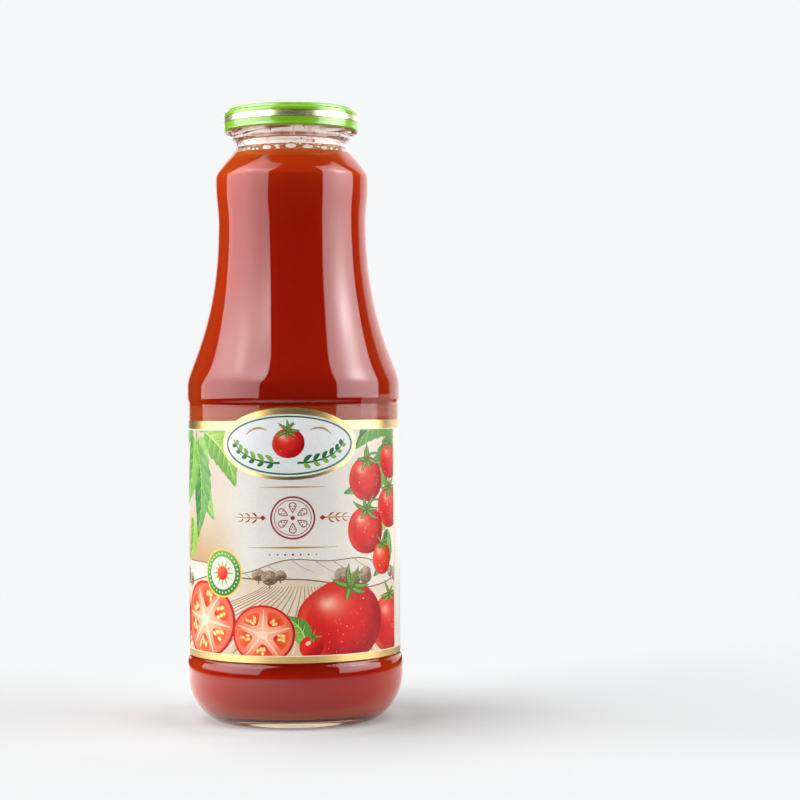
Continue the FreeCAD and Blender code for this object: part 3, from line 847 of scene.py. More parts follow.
def bubble_material(name, pale, rim):
    """A bubble's skin: pale, with spots in the rim colour, glossy and moist."""
    m, nt, out = node_material(name)
    tc = add(nt, "ShaderNodeTexCoord")
    spots = add(nt, "ShaderNodeTexNoise", Scale=700.0, Detail=3.0)
    nt.links.new(tc.outputs["Object"], spots.inputs["Vector"])
    few = add(nt, "ShaderNodeMapRange")
    nt.links.new(spots.outputs["Fac"], few.inputs["Value"])
    few.inputs["From Min"].default_value = 0.55
    few.inputs["From Max"].default_value = 0.80
    tone = add(nt, "ShaderNodeMix", data_type="RGBA")
    tone.inputs[6].default_value = (*pale, 1)
    tone.inputs[7].default_value = (*rim, 1)
    nt.links.new(few.outputs["Result"], tone.inputs[0])
    p = add(nt, "ShaderNodeBsdfPrincipled")
    nt.links.new(tone.outputs[2], p.inputs["Base Color"])
    p.inputs["Roughness"].default_value = 0.16
    # painted light: an emission glow stands in for light from behind coming through the thin skin
    nt.links.new(tone.outputs[2], p.inputs["Emission Color"])
    p.inputs["Emission Strength"].default_value = 0.26
    nt.links.new(p.outputs[0], out.inputs["Surface"])
    return m


def residue_material():
    """Thin dried wash on the inside of the neck: patches of milky pink with browner runs, clear between, with painted
    dark bands and a painted glow.
    """
    m, nt, out = node_material("neck_residue")
    tc = add(nt, "ShaderNodeTexCoord")
    blotch = add(nt, "ShaderNodeTexNoise", Scale=260.0, Detail=5.0, Roughness=0.65)
    nt.links.new(tc.outputs["Object"], blotch.inputs["Vector"])
    stretch = add(nt, "ShaderNodeMapping")
    stretch.inputs["Scale"].default_value = (230.0, 230.0, 60.0)
    nt.links.new(tc.outputs["Object"], stretch.inputs["Vector"])
    runs = add(nt, "ShaderNodeTexNoise", Scale=1.0, Detail=4.0)
    nt.links.new(stretch.outputs["Vector"], runs.inputs["Vector"])
    stain = add(nt, "ShaderNodeMapRange")
    nt.links.new(runs.outputs["Fac"], stain.inputs["Value"])
    stain.inputs["From Min"].default_value = 0.56
    stain.inputs["From Max"].default_value = 0.85
    # darker rings where the neck widens and narrows: painted shade for the dark bands that refraction in the bead shows
    # there
    sep = add(nt, "ShaderNodeSeparateXYZ")
    nt.links.new(tc.outputs["Object"], sep.inputs[0])
    wob = math_node(nt, "MULTIPLY", math_node(nt, "SUBTRACT", runs.outputs["Fac"], 0.5), 1.2 * MM)
    height = math_node(nt, "ADD", sep.outputs["Z"], wob)
    stains_and_painted_bands = stain.outputs["Result"]
    for z, half, strong in ((240.7, 0.55, 1.0), (238.15, 0.18, 0.6), (235.9, 0.40, 0.95)):
        d = math_node(nt, "DIVIDE", math_node(nt, "SUBTRACT", height, z * MM), half * MM)
        line = math_node(nt, "MULTIPLY", math_node(nt, "POWER", 0.3679, math_node(nt, "MULTIPLY", d, d)), strong)
        stains_and_painted_bands = math_node(nt, "MAXIMUM", stains_and_painted_bands, line)
    # under the cap it turns brown in wide patches
    wide = add(nt, "ShaderNodeTexNoise", Scale=75.0, Detail=2.0)
    nt.links.new(tc.outputs["Object"], wide.inputs["Vector"])
    patch = add(nt, "ShaderNodeMapRange", interpolation_type="SMOOTHSTEP")
    nt.links.new(wide.outputs["Fac"], patch.inputs["Value"])
    patch.inputs["From Min"].default_value = 0.46
    patch.inputs["From Max"].default_value = 0.58
    under = add(nt, "ShaderNodeMapRange", interpolation_type="SMOOTHSTEP")
    nt.links.new(height, under.inputs["Value"])
    under.inputs["From Min"].default_value = 242.4 * MM
    under.inputs["From Max"].default_value = 243.6 * MM
    brown_under_cap = math_node(nt, "MULTIPLY", math_node(nt, "MULTIPLY", patch.outputs["Result"], under.outputs["Result"]), 0.9)
    stains_and_painted_bands = math_node(nt, "MAXIMUM", stains_and_painted_bands, brown_under_cap)
    tone = add(nt, "ShaderNodeMix", data_type="RGBA")
    tone.inputs[6].default_value = (1.0, 0.93, 0.87, 1)
    tone.inputs[7].default_value = (0.42, 0.11, 0.04, 1)
    nt.links.new(stains_and_painted_bands, tone.inputs[0])
    body = add(nt, "ShaderNodeBsdfDiffuse")
    nt.links.new(tone.outputs[2], body.inputs["Color"])
    glow = add(nt, "ShaderNodeBsdfTranslucent")
    nt.links.new(tone.outputs[2], glow.inputs["Color"])
    both = add(nt, "ShaderNodeMixShader")
    both.inputs[0].default_value = 0.10
    nt.links.new(body.outputs[0], both.inputs[1])
    nt.links.new(glow.outputs[0], both.inputs[2])
    # painted light: the wash glows a little, standing in for light scattered in the froth and through the neck
    lit = add(nt, "ShaderNodeEmission")
    nt.links.new(tone.outputs[2], lit.inputs["Color"])
    lit.inputs["Strength"].default_value = 0.32
    milky = add(nt, "ShaderNodeAddShader")
    nt.links.new(both.outputs[0], milky.inputs[0])
    nt.links.new(lit.outputs[0], milky.inputs[1])
    clear = add(nt, "ShaderNodeBsdfTransparent")
    cover = add(nt, "ShaderNodeMapRange")
    nt.links.new(blotch.outputs["Fac"], cover.inputs["Value"])
    cover.inputs["From Min"].default_value = 0.35
    cover.inputs["From Max"].default_value = 0.62
    cover.inputs["To Min"].default_value = 0.80
    cover.inputs["To Max"].default_value = 1.0
    shown = add(nt, "ShaderNodeMixShader")
    nt.links.new(cover.outputs["Result"], shown.inputs[0])
    nt.links.new(clear.outputs[0], shown.inputs[1])
    nt.links.new(milky.outputs[0], shown.inputs[2])
    nt.links.new(shown.outputs[0], out.inputs["Surface"])
    return m


def on_wall(phi, z, r):
    """Point at angle phi (degrees, 0 = front, + to the right) on a cylinder of radius r, in metres."""
    a = math.radians(phi - 90)
    return Vector((r * math.cos(a) * MM, r * math.sin(a) * MM, z * MM))


def blobs(name, items, material, rows=8, cols=14):
    """Rounded domes pressed on the neck wall, joined in one mesh.
    Each item: phi, z, half width along the wall, half height, how deep it stands inwards, how far it reaches
    into the wall."""
    verts, faces = [], []
    for phi, z, hw, hh, deep, out_by in items:
        base = len(verts)
        grid = [(0.0, 0.0, 1.0)]
        for i in range(1, rows):
            a = math.pi * i / rows
            for j in range(cols):
                b = TAU * j / cols
                grid.append((math.sin(a) * math.cos(b), math.sin(a) * math.sin(b), math.cos(a)))
        grid.append((0.0, 0.0, -1.0))
        for u, v, w in grid:
            depth = out_by if w > 0 else deep
            r = WALL_R + depth * w
            verts.append(on_wall(phi + math.degrees(hw * u / WALL_R), z + hh * v, r))
        for j in range(cols):
            k = (j + 1) % cols
            faces.append((base, base + 1 + j, base + 1 + k))
            for i in range(rows - 2):
                p = base + 1 + i * cols
                faces.append((p + j, p + cols + j, p + cols + k, p + k))
            p = base + 1 + (rows - 2) * cols
            faces.append((p + j, base + len(grid) - 1, p + k))
    ob = make_object(name, verts, faces, material)
    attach(ob, "root")
    return ob


# the froth ring: against the wall outside, knobbly inside and on top
FROTH_SEG = 260
froth_pts = []
run_pts = [(WALL_R + 0.16, 232.6)]
run(run_pts, (10, (WALL_R + 0.16, 235.2)), (8, (WALL_R - 0.3, 235.9), (19.6, 235.9), (18.8, 235.1)),
    (5, (18.0, 234.2), (17.6, 233.6), (17.6, 233.0)), (3, (17.8, 232.4)), (3, (WALL_R - 0.6, 232.3)))


def froth_shape(th, r, z, k):
    if z > 233.2:
        q = 0.6 * noise.noise(Vector((math.cos(th) * 9, math.sin(th) * 9, r * 0.9)))
        q += 0.35 * noise.noise(Vector((math.cos(th) * 24, math.sin(th) * 24, r * 2.1 + 5)))
        t = float(smoothstep(233.2, 234.7, z))
        z += 0.85 * q * t
        if r < WALL_R:
            r += 0.7 * noise.noise(Vector((math.cos(th) * 13 + 3, math.sin(th) * 13, z)))
        r = min(r, WALL_R + 0.16)
    return r, z


fv2, ff2 = lathe(run_pts, FROTH_SEG, froth_shape)
close_lathe(fv2, ff2, FROTH_SEG, 0, (len(run_pts) - 1) * FROTH_SEG)
froth = make_object("juice_froth", fv2, ff2, froth_material())
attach(froth, "root")
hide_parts("foam")

# large bubbles: the ones that show in front, then more all round
big = [(-25.0, 234.3, 2.4, 1.35), (-13.0, 234.9, 1.4, 0.7), (-12.0, 234.0, 1.2, 0.45), (2.0, 234.8, 2.8, 1.25),
       (21.0, 234.5, 2.9, 0.95), (20.0, 235.5, 1.0, 0.35), (41.0, 234.3, 1.9, 0.95), (-37.5, 234.0, 0.9, 0.7),
       (-43.5, 233.9, 1.1, 0.8), (-51.0, 234.6, 1.2, 0.9), (33.0, 234.6, 0.8, 0.6), (52.0, 234.4, 1.2, 0.9),
       (63.0, 234.0, 1.6, 1.0), (-62.0, 234.2, 1.7, 1.0)]
ang = 74.0
while ang < 288:
    w = froth_rand.uniform(0.9, 2.7)
    big.append((ang, 234.3 + froth_rand.uniform(-0.5, 0.5), w, froth_rand.uniform(0.6, 1.1)))
    ang += math.degrees(w * 2 / WALL_R) + froth_rand.uniform(1.0, 6.0)
halo = [(p, z - 0.05, w + 0.42, h + 0.38, 0.5, 0.20) for p, z, w, h in big]
core = [(p, z, w, h, 0.9, 0.27) for p, z, w, h in big]
blobs("bubble_halos", halo, bubble_material("bubble_rim", (0.58, 0.20, 0.075), (0.45, 0.10, 0.025)))
blobs("bubbles", core, bubble_material("bubble_skin", (0.98, 0.92, 0.87), (0.80, 0.48, 0.30)))

# small bubbles in the froth and just over it
small = []
for _ in range(420):
    p = froth_rand.uniform(-180, 180)
    z = froth_rand.choice((froth_rand.uniform(232.3, 233.3), froth_rand.uniform(232.9, 235.9), froth_rand.uniform(234.4, 236.6)))
    if any(abs((p - q[0] + 180) % 360 - 180) < math.degrees((q[2] + 0.3) / WALL_R) and abs(z - q[1]) < q[3] + 0.25 for q in big):
        continue
    w = froth_rand.uniform(0.18, 0.62) * (1.0 if z > 233 else 0.7)
    small.append((p, z, w, w * froth_rand.uniform(0.7, 1.0), w * 0.8, 0.24))
for _ in range(170):
    p, z = froth_rand.uniform(-180, 180), 233.2 - 2.6 * froth_rand.random() ** 1.6
    w = froth_rand.uniform(0.16, 0.5)
    small.append((p, z, w, w * froth_rand.uniform(0.7, 1.0), w * 0.8, 0.26))
pale_ones = [s for i, s in enumerate(small) if i % 3]
dark_ones = [s for i, s in enumerate(small) if i % 3 == 0]
blobs("small_bubbles", pale_ones, bubble_material("small_bubble_skin", (0.94, 0.76, 0.62), (0.66, 0.28, 0.12)), rows=5, cols=9)
blobs("juice_spots", dark_ones, bubble_material("juice_spot", (0.50, 0.13, 0.035), (0.36, 0.05, 0.012)), rows=5, cols=9)

# droplets left on the wall between the froth and the lip
drops, dark_drops = [], []
for i in range(230):
    p = froth_rand.uniform(-180, 180)
    z = froth_rand.uniform(235.8, 249.6)
    w = froth_rand.uniform(0.15, 0.55)
    (dark_drops if i % 4 == 0 else drops).append((p, z, w, w * froth_rand.uniform(0.8, 1.7), 0.3, 0.10))
blobs("neck_droplets", drops, bubble_material("neck_droplet", (0.86, 0.70, 0.60), (0.66, 0.30, 0.14)), rows=5, cols=9)
blobs("neck_spatter", dark_drops, bubble_material("neck_spatter", (0.44, 0.12, 0.04), (0.30, 0.05, 0.015)), rows=5, cols=9)

# the thin wash itself, a shell just inside the glass
wash_pts = [(WALL_R - 0.02, 235.3)]
run(wash_pts, (30, (WALL_R - 0.02, 250.0)), (1, (WALL_R - 0.12, 250.0)), (30, (WALL_R - 0.12, 235.3)))
wv, wf = lathe(wash_pts, 160)
close_lathe(wv, wf, 160, 0, (len(wash_pts) - 1) * 160)
wash = make_object("neck_residue", wv, wf, residue_material())
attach(wash, "root")

# ------------------------------------------------------------------ the printed label
#
# The print is drawn flat, in millimetres round the bottle (s, 0 at the front, + to the right) and up (z), as
# plain shapes laid over each other.  They are cut against each other, wrapped round the panel and closed
# into a thin sheet.  It is a generic design with no lettering.

SEAM_S = 54.0                                   # right edge of the front art, where the sheet's ends meet
R0 = PANEL + 0.15                                # radius at which s is measured
AROUND = TAU * R0
S_MIN, S_MAX = SEAM_S - AROUND + 0.03, SEAM_S   # the two ends butt, a hair apart
Z_MIN, Z_MAX = FILM_LOW, FILM_HIGH
BAND_LO, BAND_HI = 120.4, 123.7                 # gold band at the top
FOOT_LO, FOOT_HI = FILM_LOW, 30.1               # gold line at the bottom
PLAQUE = (0.0, 114.6, 28.5, 14.4)               # oval plaque: centre, half width, half height

art = random.Random(4107)
shapes = []                                     # (outline, paint, metal)


def rgb(*c):
    return np.array(c, float)


def mix(a, b, t):
    t = np.clip(np.asarray(t, float), 0, 1)
    return a + (b - a) * (t[..., None] if t.ndim else t)


def flat(*c):
    c = rgb(*c)
    return lambda s, z: np.tile(c, (len(s), 1))


def fbm(s, z, scale, seed=0.0, octaves=3):
    """Smooth noise in 0..1 from a few turned sine waves, the same on every run."""
    v = np.zeros(len(s))
    amp, total = 1.0, 0.0
    for k in range(octaves * 3):
        a = 2.399 * k + seed * 1.7
        f = (1.7 ** (k / 3)) / scale
        v += amp * np.sin((s * math.cos(a) + z * math.sin(a)) * f + 1.3 * k + seed * 5.1
                          + 0.7 * np.sin((z * math.cos(a) - s * math.sin(a)) * f * 0.7 + k))
        total += amp
        amp *= 0.86
    return np.clip(0.5 + 0.9 * v / total, 0, 1)


def add_shape(points, paint, metal=0.0):
    p = np.array(points, float)
    area = 0.5 * np.sum(p[:, 0] * np.roll(p[:, 1], -1) - np.roll(p[:, 0], -1) * p[:, 1])
    if area < 0:
        p = p[::-1]
    if abs(area) <= 0.02:
        return
    short = []                                  # no side longer than about a millimetre around the bottle and four up it, so that it can bend
    for a, b in zip(p, np.roll(p, -1, axis=0)):
        n = max(1, math.ceil(max(abs(b[0] - a[0]) / 1.1, abs(b[1] - a[1]) / 4.0)))
        short.extend(a + (b - a) * (i / n) for i in range(n))
    shapes.append((np.array(short), paint, metal))


def ellipse(cx, cz, rx, rz, turn=0.0, n=48, wave=0.0, seed=0):
    r = random.Random(seed)
    amp = [(k, r.uniform(-1, 1), r.uniform(0, TAU)) for k in (2, 3, 4, 5, 7)]
    out = []
    for i in range(n):
        t = TAU * i / n
        m = 1 + wave * sum(a * math.cos(k * t + p) / k for k, a, p in amp)
        x, y = rx * m * math.cos(t), rz * m * math.sin(t)
        out.append((cx + x * math.cos(turn) - y * math.sin(turn), cz + x * math.sin(turn) + y * math.cos(turn)))
    return out


def curve(p0, p1, p2, p3, n=16):
    out = []
    for i in range(n + 1):
        t = i / n
        w = ((1 - t) ** 3, 3 * t * (1 - t) ** 2, 3 * t * t * (1 - t), t ** 3)
        out.append((sum(w[k] * p[0] for k, p in enumerate((p0, p1, p2, p3))),
                    sum(w[k] * p[1] for k, p in enumerate((p0, p1, p2, p3)))))
    return out


def ribbon(line, w0, w1=None, wm=None):
    """A stroke along a line: half width w0 at its start, wm half way, w1 at its end."""
    w1 = w0 if w1 is None else w1
    wm = (w0 + w1) / 2 if wm is None else wm
    left, right = [], []
    n = len(line) - 1
    for i, (x, y) in enumerate(line):
        a, b = line[max(i - 1, 0)], line[min(i + 1, n)]
        dx, dy = b[0] - a[0], b[1] - a[1]
        d = math.hypot(dx, dy) or 1.0
        t = i / n
        w = w0 * (1 - t) * (1 - 2 * t) + 4 * wm * t * (1 - t) + w1 * t * (2 * t - 1)
        w = max(w, 0.05)
        left.append((x - dy / d * w, y + dx / d * w))
        right.append((x + dy / d * w, y - dx / d * w))
    return left + right[::-1]


def stroke(line, paint, w0, w1=None, wm=None, metal=0.0):
    add_shape(ribbon(line, w0, w1, wm), paint, metal)


def leaf(base, tip, width, tone, bend=0.15, teeth=6, depth=0.22, vein=True, shade=1.0):
    """A toothed leaflet from base to tip, with a lighter near half, a darker far half and veins."""
    bx, bz = base
    tx, tz = tip
    dx, dz = tx - bx, tz - bz
    length = math.hypot(dx, dz)
    ux, uz = dx / length, dz / length
    nx, nz = -uz, ux

    def axis(t):
        off = bend * length * math.sin(math.pi * t)
        return bx + dx * t + nx * off, bz + dz * t + nz * off

    def half(t):
        return width * (math.sin(math.pi * min(1, t ** 0.72)) ** 0.8) * (1 - 0.25 * t)

    def side(sign):
        pts = []
        n = teeth * 4
        for i in range(1, n):
            t = i / n
            x, z = axis(t)
            ph = (t * teeth) % 1.0
            tooth = 1 + depth * (ph - 0.45) * (1 - 0.55 * t)
            w = half(t) * tooth
            back = 0.25 * depth * width * ph
            pts.append((x + sign * nx * w + ux * back, z + sign * nz * w + uz * back))
        return pts

    light, dark = [rgb(*c) for c in tone]

    def paint_half(sign):
        def paint(s, z):
            t = ((s - bx) * ux + (z - bz) * uz) / length
            w = ((s - bx) * nx + (z - bz) * nz) / width
            v = 0.5 + 0.5 * np.sin((t * teeth * 1.0 - np.abs(w - bend * 2) * 0.8) * TAU)
            k = 0.45 + sign * 0.30 + 0.28 * (v - 0.5) + 0.35 * (fbm(s, z, 1.6, bx) - 0.5) - 0.18 * t
            return mix(dark, light, k) * shade
        return paint

    a, b = axis(0), axis(1)
    mid = [axis(i / 14) for i in range(15)]
    add_shape(mid + side(1)[::-1], paint_half(1))
    add_shape(mid + side(-1)[::-1], paint_half(-1))
    if vein:
        pale = flat(*np.clip(light * 0.55 + rgb(225, 236, 160) * 0.45, 0, 255))
        stroke([axis(t / 12) for t in range(0, 12)], pale, 0.34, 0.08, 0.24)
        for k in range(1, teeth):
            t = k / (teeth + 0.6)
            for sign in (1, -1):
                x, z = axis(t)
                t2 = t + 0.13
                x2, z2 = axis(t2)
                w = half(t2) * 0.74 * sign
                stroke([(x, z), ((x + x2) / 2 + nx * w * 0.55, (z + z2) / 2 + nz * w * 0.55), (x2 + nx * w, z2 + nz * w)],
                       pale, 0.16, 0.05)


def tomato(cx, cz, rx, rz, seed, deep=(150, 5, 16), main=(208, 24, 24), lit=(232, 72, 50), shine=1.0, light_at=(-0.36, 0.44)):
    deep, main, lit = rgb(*deep), rgb(*main), rgb(*lit)

    def paint(s, z):
        u, v = (s - cx) / rx, (z - cz) / rz
        r = np.sqrt(u * u + v * v)
        c = mix(main, deep, smoothstep(0.35, 1.05, r * 0.75 + 0.33 * u - 0.28 * v))
        c = mix(c, lit, 0.85 * np.exp(-((u + 0.25) ** 2 + (v - 0.5) ** 2) / 0.24))
        c = mix(c, rgb(246, 120, 88), 0.55 * np.exp(-((r - 0.9) / 0.10) ** 2) * smoothstep(-0.1, 0.9, -u - 0.2 * v))
        lobes = 0.5 + 0.5 * np.cos(5 * np.arctan2(v - 0.75, u) + seed)
        c = mix(c, deep, 0.22 * lobes * smoothstep(0.2, 0.9, r))
        lx, lz = light_at
        c = mix(c, rgb(252, 226, 216), shine * 0.88 * np.exp(-((u - lx) ** 2 / 0.030 + (v - lz) ** 2 / 0.022)))
        c = mix(c, rgb(249, 160, 138), shine * 0.5 * np.exp(-((u - lx - 0.1) ** 2 / 0.11 + (v - lz + 0.05) ** 2 / 0.09)))
        c = mix(c, rgb(235, 74, 54), 0.25 * (fbm(s, z, 1.3, seed) - 0.5) * 2)
        return c

    add_shape(ellipse(cx, cz, rx, rz, n=64, wave=0.035, seed=seed), paint)
    dots = random.Random(seed * 7 + 1)
    for _ in range(int(rx * 1.3)):
        a, q = dots.uniform(0, TAU), dots.uniform(0.1, 0.82)
        d = dots.uniform(0.16, 0.34)
        add_shape(ellipse(cx + rx * q * math.cos(a), cz + rz * q * math.sin(a), d, d * 0.9, n=7),
                  flat(*(rgb(243, 116, 92) if dots.random() < 0.6 else rgb(250, 190, 172))))


def calyx(cx, cz, size, seed, turn=0.0, stem=True):
    """Green star of narrow curled leaves with a short stalk."""
    r = random.Random(seed)
    arms = 6
    for k in range(arms):
        a = turn + TAU * k / arms + r.uniform(-0.22, 0.22)
        l = size * r.uniform(0.8, 1.25)
        b = a + r.uniform(-0.35, 0.35)
        p0 = (cx, cz)
        p1 = (cx + math.cos(a) * l * 0.4, cz + math.sin(a) * l * 0.34)
        p3 = (cx + math.cos(b) * l, cz + math.sin(b) * l * 0.8 + 0.10 * l)
        line = curve(p0, p1, ((p1[0] + p3[0]) / 2, (p1[1] + p3[1]) / 2 - 0.06 * l), p3, 9)
        stroke(line, flat(70, 104, 42), size * 0.13, 0.06, size * 0.125)
        stroke(line, flat(128, 164, 76), size * 0.05, 0.05, size * 0.062)
    add_shape(ellipse(cx, cz, size * 0.22, size * 0.17, n=16), flat(84, 112, 48))
    if stem:
        a = turn + 0.5 * math.pi
        line = curve((cx, cz), (cx + 0.1 * size, cz + size * 0.3), (cx + 0.25 * size, cz + size * 0.5),
                     (cx + 0.45 * size, cz + size * 0.62), 8)
        stroke(line, flat(112, 140, 62), size * 0.10, size * 0.12)


def slice_round(cx, cz, rx, rz, seed, locules=6, turn=0.2):
    """A tomato cut across: skin, flesh wall, juicy chambers with seeds, pale core."""
    r = random.Random(seed)

    def rim(s, z):
        u, v = (s - cx) / rx, (z - cz) / rz
        return mix(rgb(213, 26, 28), rgb(172, 12, 22), smoothstep(-0.4, 1.0, u - v))

    def flesh(s, z):
        u, v = (s - cx) / rx, (z - cz) / rz
        rr = np.sqrt(u * u + v * v)
        ang = np.arctan2(v, u)
        streak = 0.5 + 0.5 * np.sin(ang * 34 + 3 * fbm(s, z, 1.2, seed))
        c = mix(rgb(250, 178, 140), rgb(236, 104, 74), smoothstep(0.15, 0.98, rr))
        return mix(c, rgb(252, 206, 170), 0.35 * streak * smoothstep(0.95, 0.5, rr))

    add_shape(ellipse(cx, cz, rx, rz, n=64, wave=0.02, seed=seed), rim)
    add_shape(ellipse(cx, cz, rx * 0.93, rz * 0.93, n=60, wave=0.02, seed=seed), flesh)
    for k in range(locules):
        a = turn + TAU * k / locules + r.uniform(-0.07, 0.07)
        da = TAU / locules * 0.36
        pts = []
        n = 9
        outer_r, inner_r = 0.80 + r.uniform(-0.02, 0.03), 0.34 + r.uniform(-0.03, 0.04)
        for i in range(n + 1):
            t = -1 + 2 * i / n
            pts.append((a + da * t * 0.98, outer_r * (1 - 0.07 * t ** 4)))
        for i in range(n - 1):
            t = 1 - 2 * (i + 1) / n
            pts.append((a + da * t * 0.72, inner_r + 0.10 * t * t))
        out = [(cx + rx * q * math.cos(b), cz + rz * q * math.sin(b)) for b, q in pts]

        def gel(s, z, a=a):
            u, v = (s - cx) / rx, (z - cz) / rz
            rr = np.sqrt(u * u + v * v)
            c = mix(rgb(196, 20, 24), rgb(232, 72, 34), smoothstep(0.35, 0.8, rr))
            return mix(c, rgb(246, 132, 62), 0.55 * fbm(s, z, 0.9, a * 3))
        add_shape(out, gel)
        for j in range(5):
            b = a + da * r.uniform(-0.62, 0.62)
            q = r.uniform(0.48, 0.72)
            x, z = cx + rx * q * math.cos(b), cz + rz * q * math.sin(b)
            w = rx * 0.045
            add_shape(ellipse(x, z, w * 1.9, w * 1.25, turn=b + r.uniform(-0.4, 0.4), n=10), flat(238, 150, 74))
            add_shape(ellipse(x, z, w * 1.25, w * 0.75, turn=b + r.uniform(-0.4, 0.4), n=9), flat(250, 222, 158))
    for k in range(locules):
        a = turn + TAU * (k + 0.5) / locules
        stroke([(cx + rx * q * math.cos(a), cz + rz * q * math.sin(a)) for q in (0.16, 0.4, 0.66, 0.86)],
               flat(252, 206, 176), rx * 0.035, rx * 0.012)
    add_shape(ellipse(cx, cz, rx * 0.17, rz * 0.15, n=20, wave=0.10, seed=seed + 3), flat(252, 214, 188))


def ring(cx, cz, r_in, r_out, paint, metal=0.0, n=56, squash=1.0, under=None):
    add_shape(ellipse(cx, cz, r_out * squash, r_out, n=n), paint, metal)
    if under is not None:
        add_shape(ellipse(cx, cz, r_in * squash, r_in, n=n), under)


GOLD = (232, 198, 128)
gold = flat(*GOLD)
rule_gold = flat(188, 146, 74)


def ground(s, z):
    """Cream ground, lightest in the middle, warmer to the sides and tan towards the lower corners."""
    c = mix(rgb(235, 230, 223), rgb(214, 198, 179), smoothstep(-14, -38, s))
    c = mix(c, rgb(238, 226, 210), smoothstep(12, 40, s))
    c = mix(c, rgb(193, 157, 117), smoothstep(92, 66, z) * smoothstep(-16, -44, s))
    c = mix(c, rgb(204, 176, 140), 0.8 * smoothstep(66, 40, z) * smoothstep(6, -30, s))
    c = mix(c, rgb(226, 198, 168), 0.8 * smoothstep(66, 44, z) * smoothstep(14, 46, s))
    return c + 4.0 * (fbm(s, z, 7.0, 2)[:, None] - 0.5)


# whole sheet: clear film, told by metal = -1
add_shape([(S_MIN, Z_MIN), (S_MAX, Z_MIN), (S_MAX, Z_MAX), (S_MIN, Z_MAX)], flat(232, 150, 110), -1.0)
# printed ground
add_shape([(S_MIN, Z_MIN), (S_MAX, Z_MIN), (S_MAX, BAND_HI), (S_MIN, BAND_HI)], ground)


# --- far hills and furrowed fields, in sepia line
def hill(points, tone_top, tone_low, low):
    def paint(s, z):
        t = smoothstep(low, low + 14, z)
        return mix(rgb(*tone_low), rgb(*tone_top), t) + 7 * (fbm(s, z, 1.5, low)[:, None] - 0.5)
    add_shape(points + [(points[-1][0], low), (points[0][0], low)], paint)


def wave_line(x0, x1, z0, amps, n=44):
    return [(x0 + (x1 - x0) * i / n, z0 + sum(a * math.sin((x0 + (x1 - x0) * i / n) / w + p) for a, w, p in amps))
            for i in range(n + 1)]


far = wave_line(-101, SEAM_S + 0.5, 66.5, ((2.6, 13, 0.4), (1.2, 5.7, 2.0)))
near = wave_line(-101, SEAM_S + 0.5, 59.5, ((2.2, 17, 2.6), (0.8, 7.3, 0.3)))
hill(far, (229, 219, 207), (226, 211, 192), 40)
stroke(far, flat(140, 112, 92), 0.22)
for k in range(18):
    x = -96 + 8.8 * k + art.uniform(-2, 2)
    zz = np.interp(x, [p[0] for p in far], [p[1] for p in far])
    stroke(curve((x, zz - 0.4), (x + 2, zz - 1.6), (x + 4, zz - 3.4), (x + 9, zz - 5.2), 6), flat(158, 132, 112), 0.15, 0.06)
hill(near, (224, 207, 184), (216, 190, 156), 30)
stroke(near, flat(124, 96, 76), 0.26)
for k in range(-13, 14):
    x0, z0 = 6 + k * 1.25, 58.0
    x1 = 6 + k * 7.6
    z1 = 31.0
    stroke(curve((x0, z0), (x0 + k * 0.4, z0 - 5), (x1 - k * 2.2, z1 + 8), (x1, z1), 10),
           flat(160, 128, 98), 0.12, 0.36)
    stroke(curve((x0 + 0.5, z0), (x0 + 0.5 + k * 0.4, z0 - 5), (x1 + 2.6 - k * 2.2, z1 + 8), (x1 + 2.6, z1), 10),
           flat(236, 218, 194), 0.08, 0.26)


def tree(cx, cz, r, seed):
    q = random.Random(seed)
    stroke([(cx, cz - r * 1.35), (cx + 0.1, cz - r * 0.5)], flat(128, 104, 84), 0.34, 0.2)
    add_shape(ellipse(cx, cz, r * 1.08, r, n=26, wave=0.16, seed=seed),
              lambda s, z: mix(rgb(112, 88, 70), rgb(186, 164, 136), smoothstep(-0.7, 0.8, (z - cz) / r - 0.6 * (s - cx) / r)
                               + 0.7 * (fbm(s, z, 0.7, seed) - 0.5)))
    for _ in range(int(9 * r)):
        a, d = q.uniform(0, TAU), r * math.sqrt(q.random()) * 0.9
        x, z = cx + d * math.cos(a), cz + d * math.sin(a)
        w = q.uniform(0.25, 0.5)
        dark = q.random() < 0.6
        stroke(curve((x - w, z), (x - w * 0.5, z + w), (x + w * 0.5, z + w), (x + w, z), 4),
               flat(*((84, 62, 50) if dark else (208, 190, 164))), 0.11, 0.06)


for k, (x, z, r) in enumerate(((-90, 60.5, 3.2), (-84, 59.8, 2.6), (-60, 60.8, 3.4), (-54, 59.2, 2.6), (-12.5, 62.4, 2.5), (-8, 61.4, 3.1), (-3.5, 62.3, 2.2),
                               (22, 61.6, 3.6), (27.6, 60.4, 2.7), (33, 61.5, 3.3), (50, 62.0, 2.4), (55, 60.6, 3.4))):
    tree(x, z, r, 300 + k)

# --- the top gold band's colour; the band is drawn later, over the leaves that hang below it, and the plaque covers its middle
def gold_tone(s, z):
    return np.tile(rgb(*GOLD), (len(s), 1)) * (0.97 + 0.05 * (fbm(s, z, 9.0, 4)[:, None]))


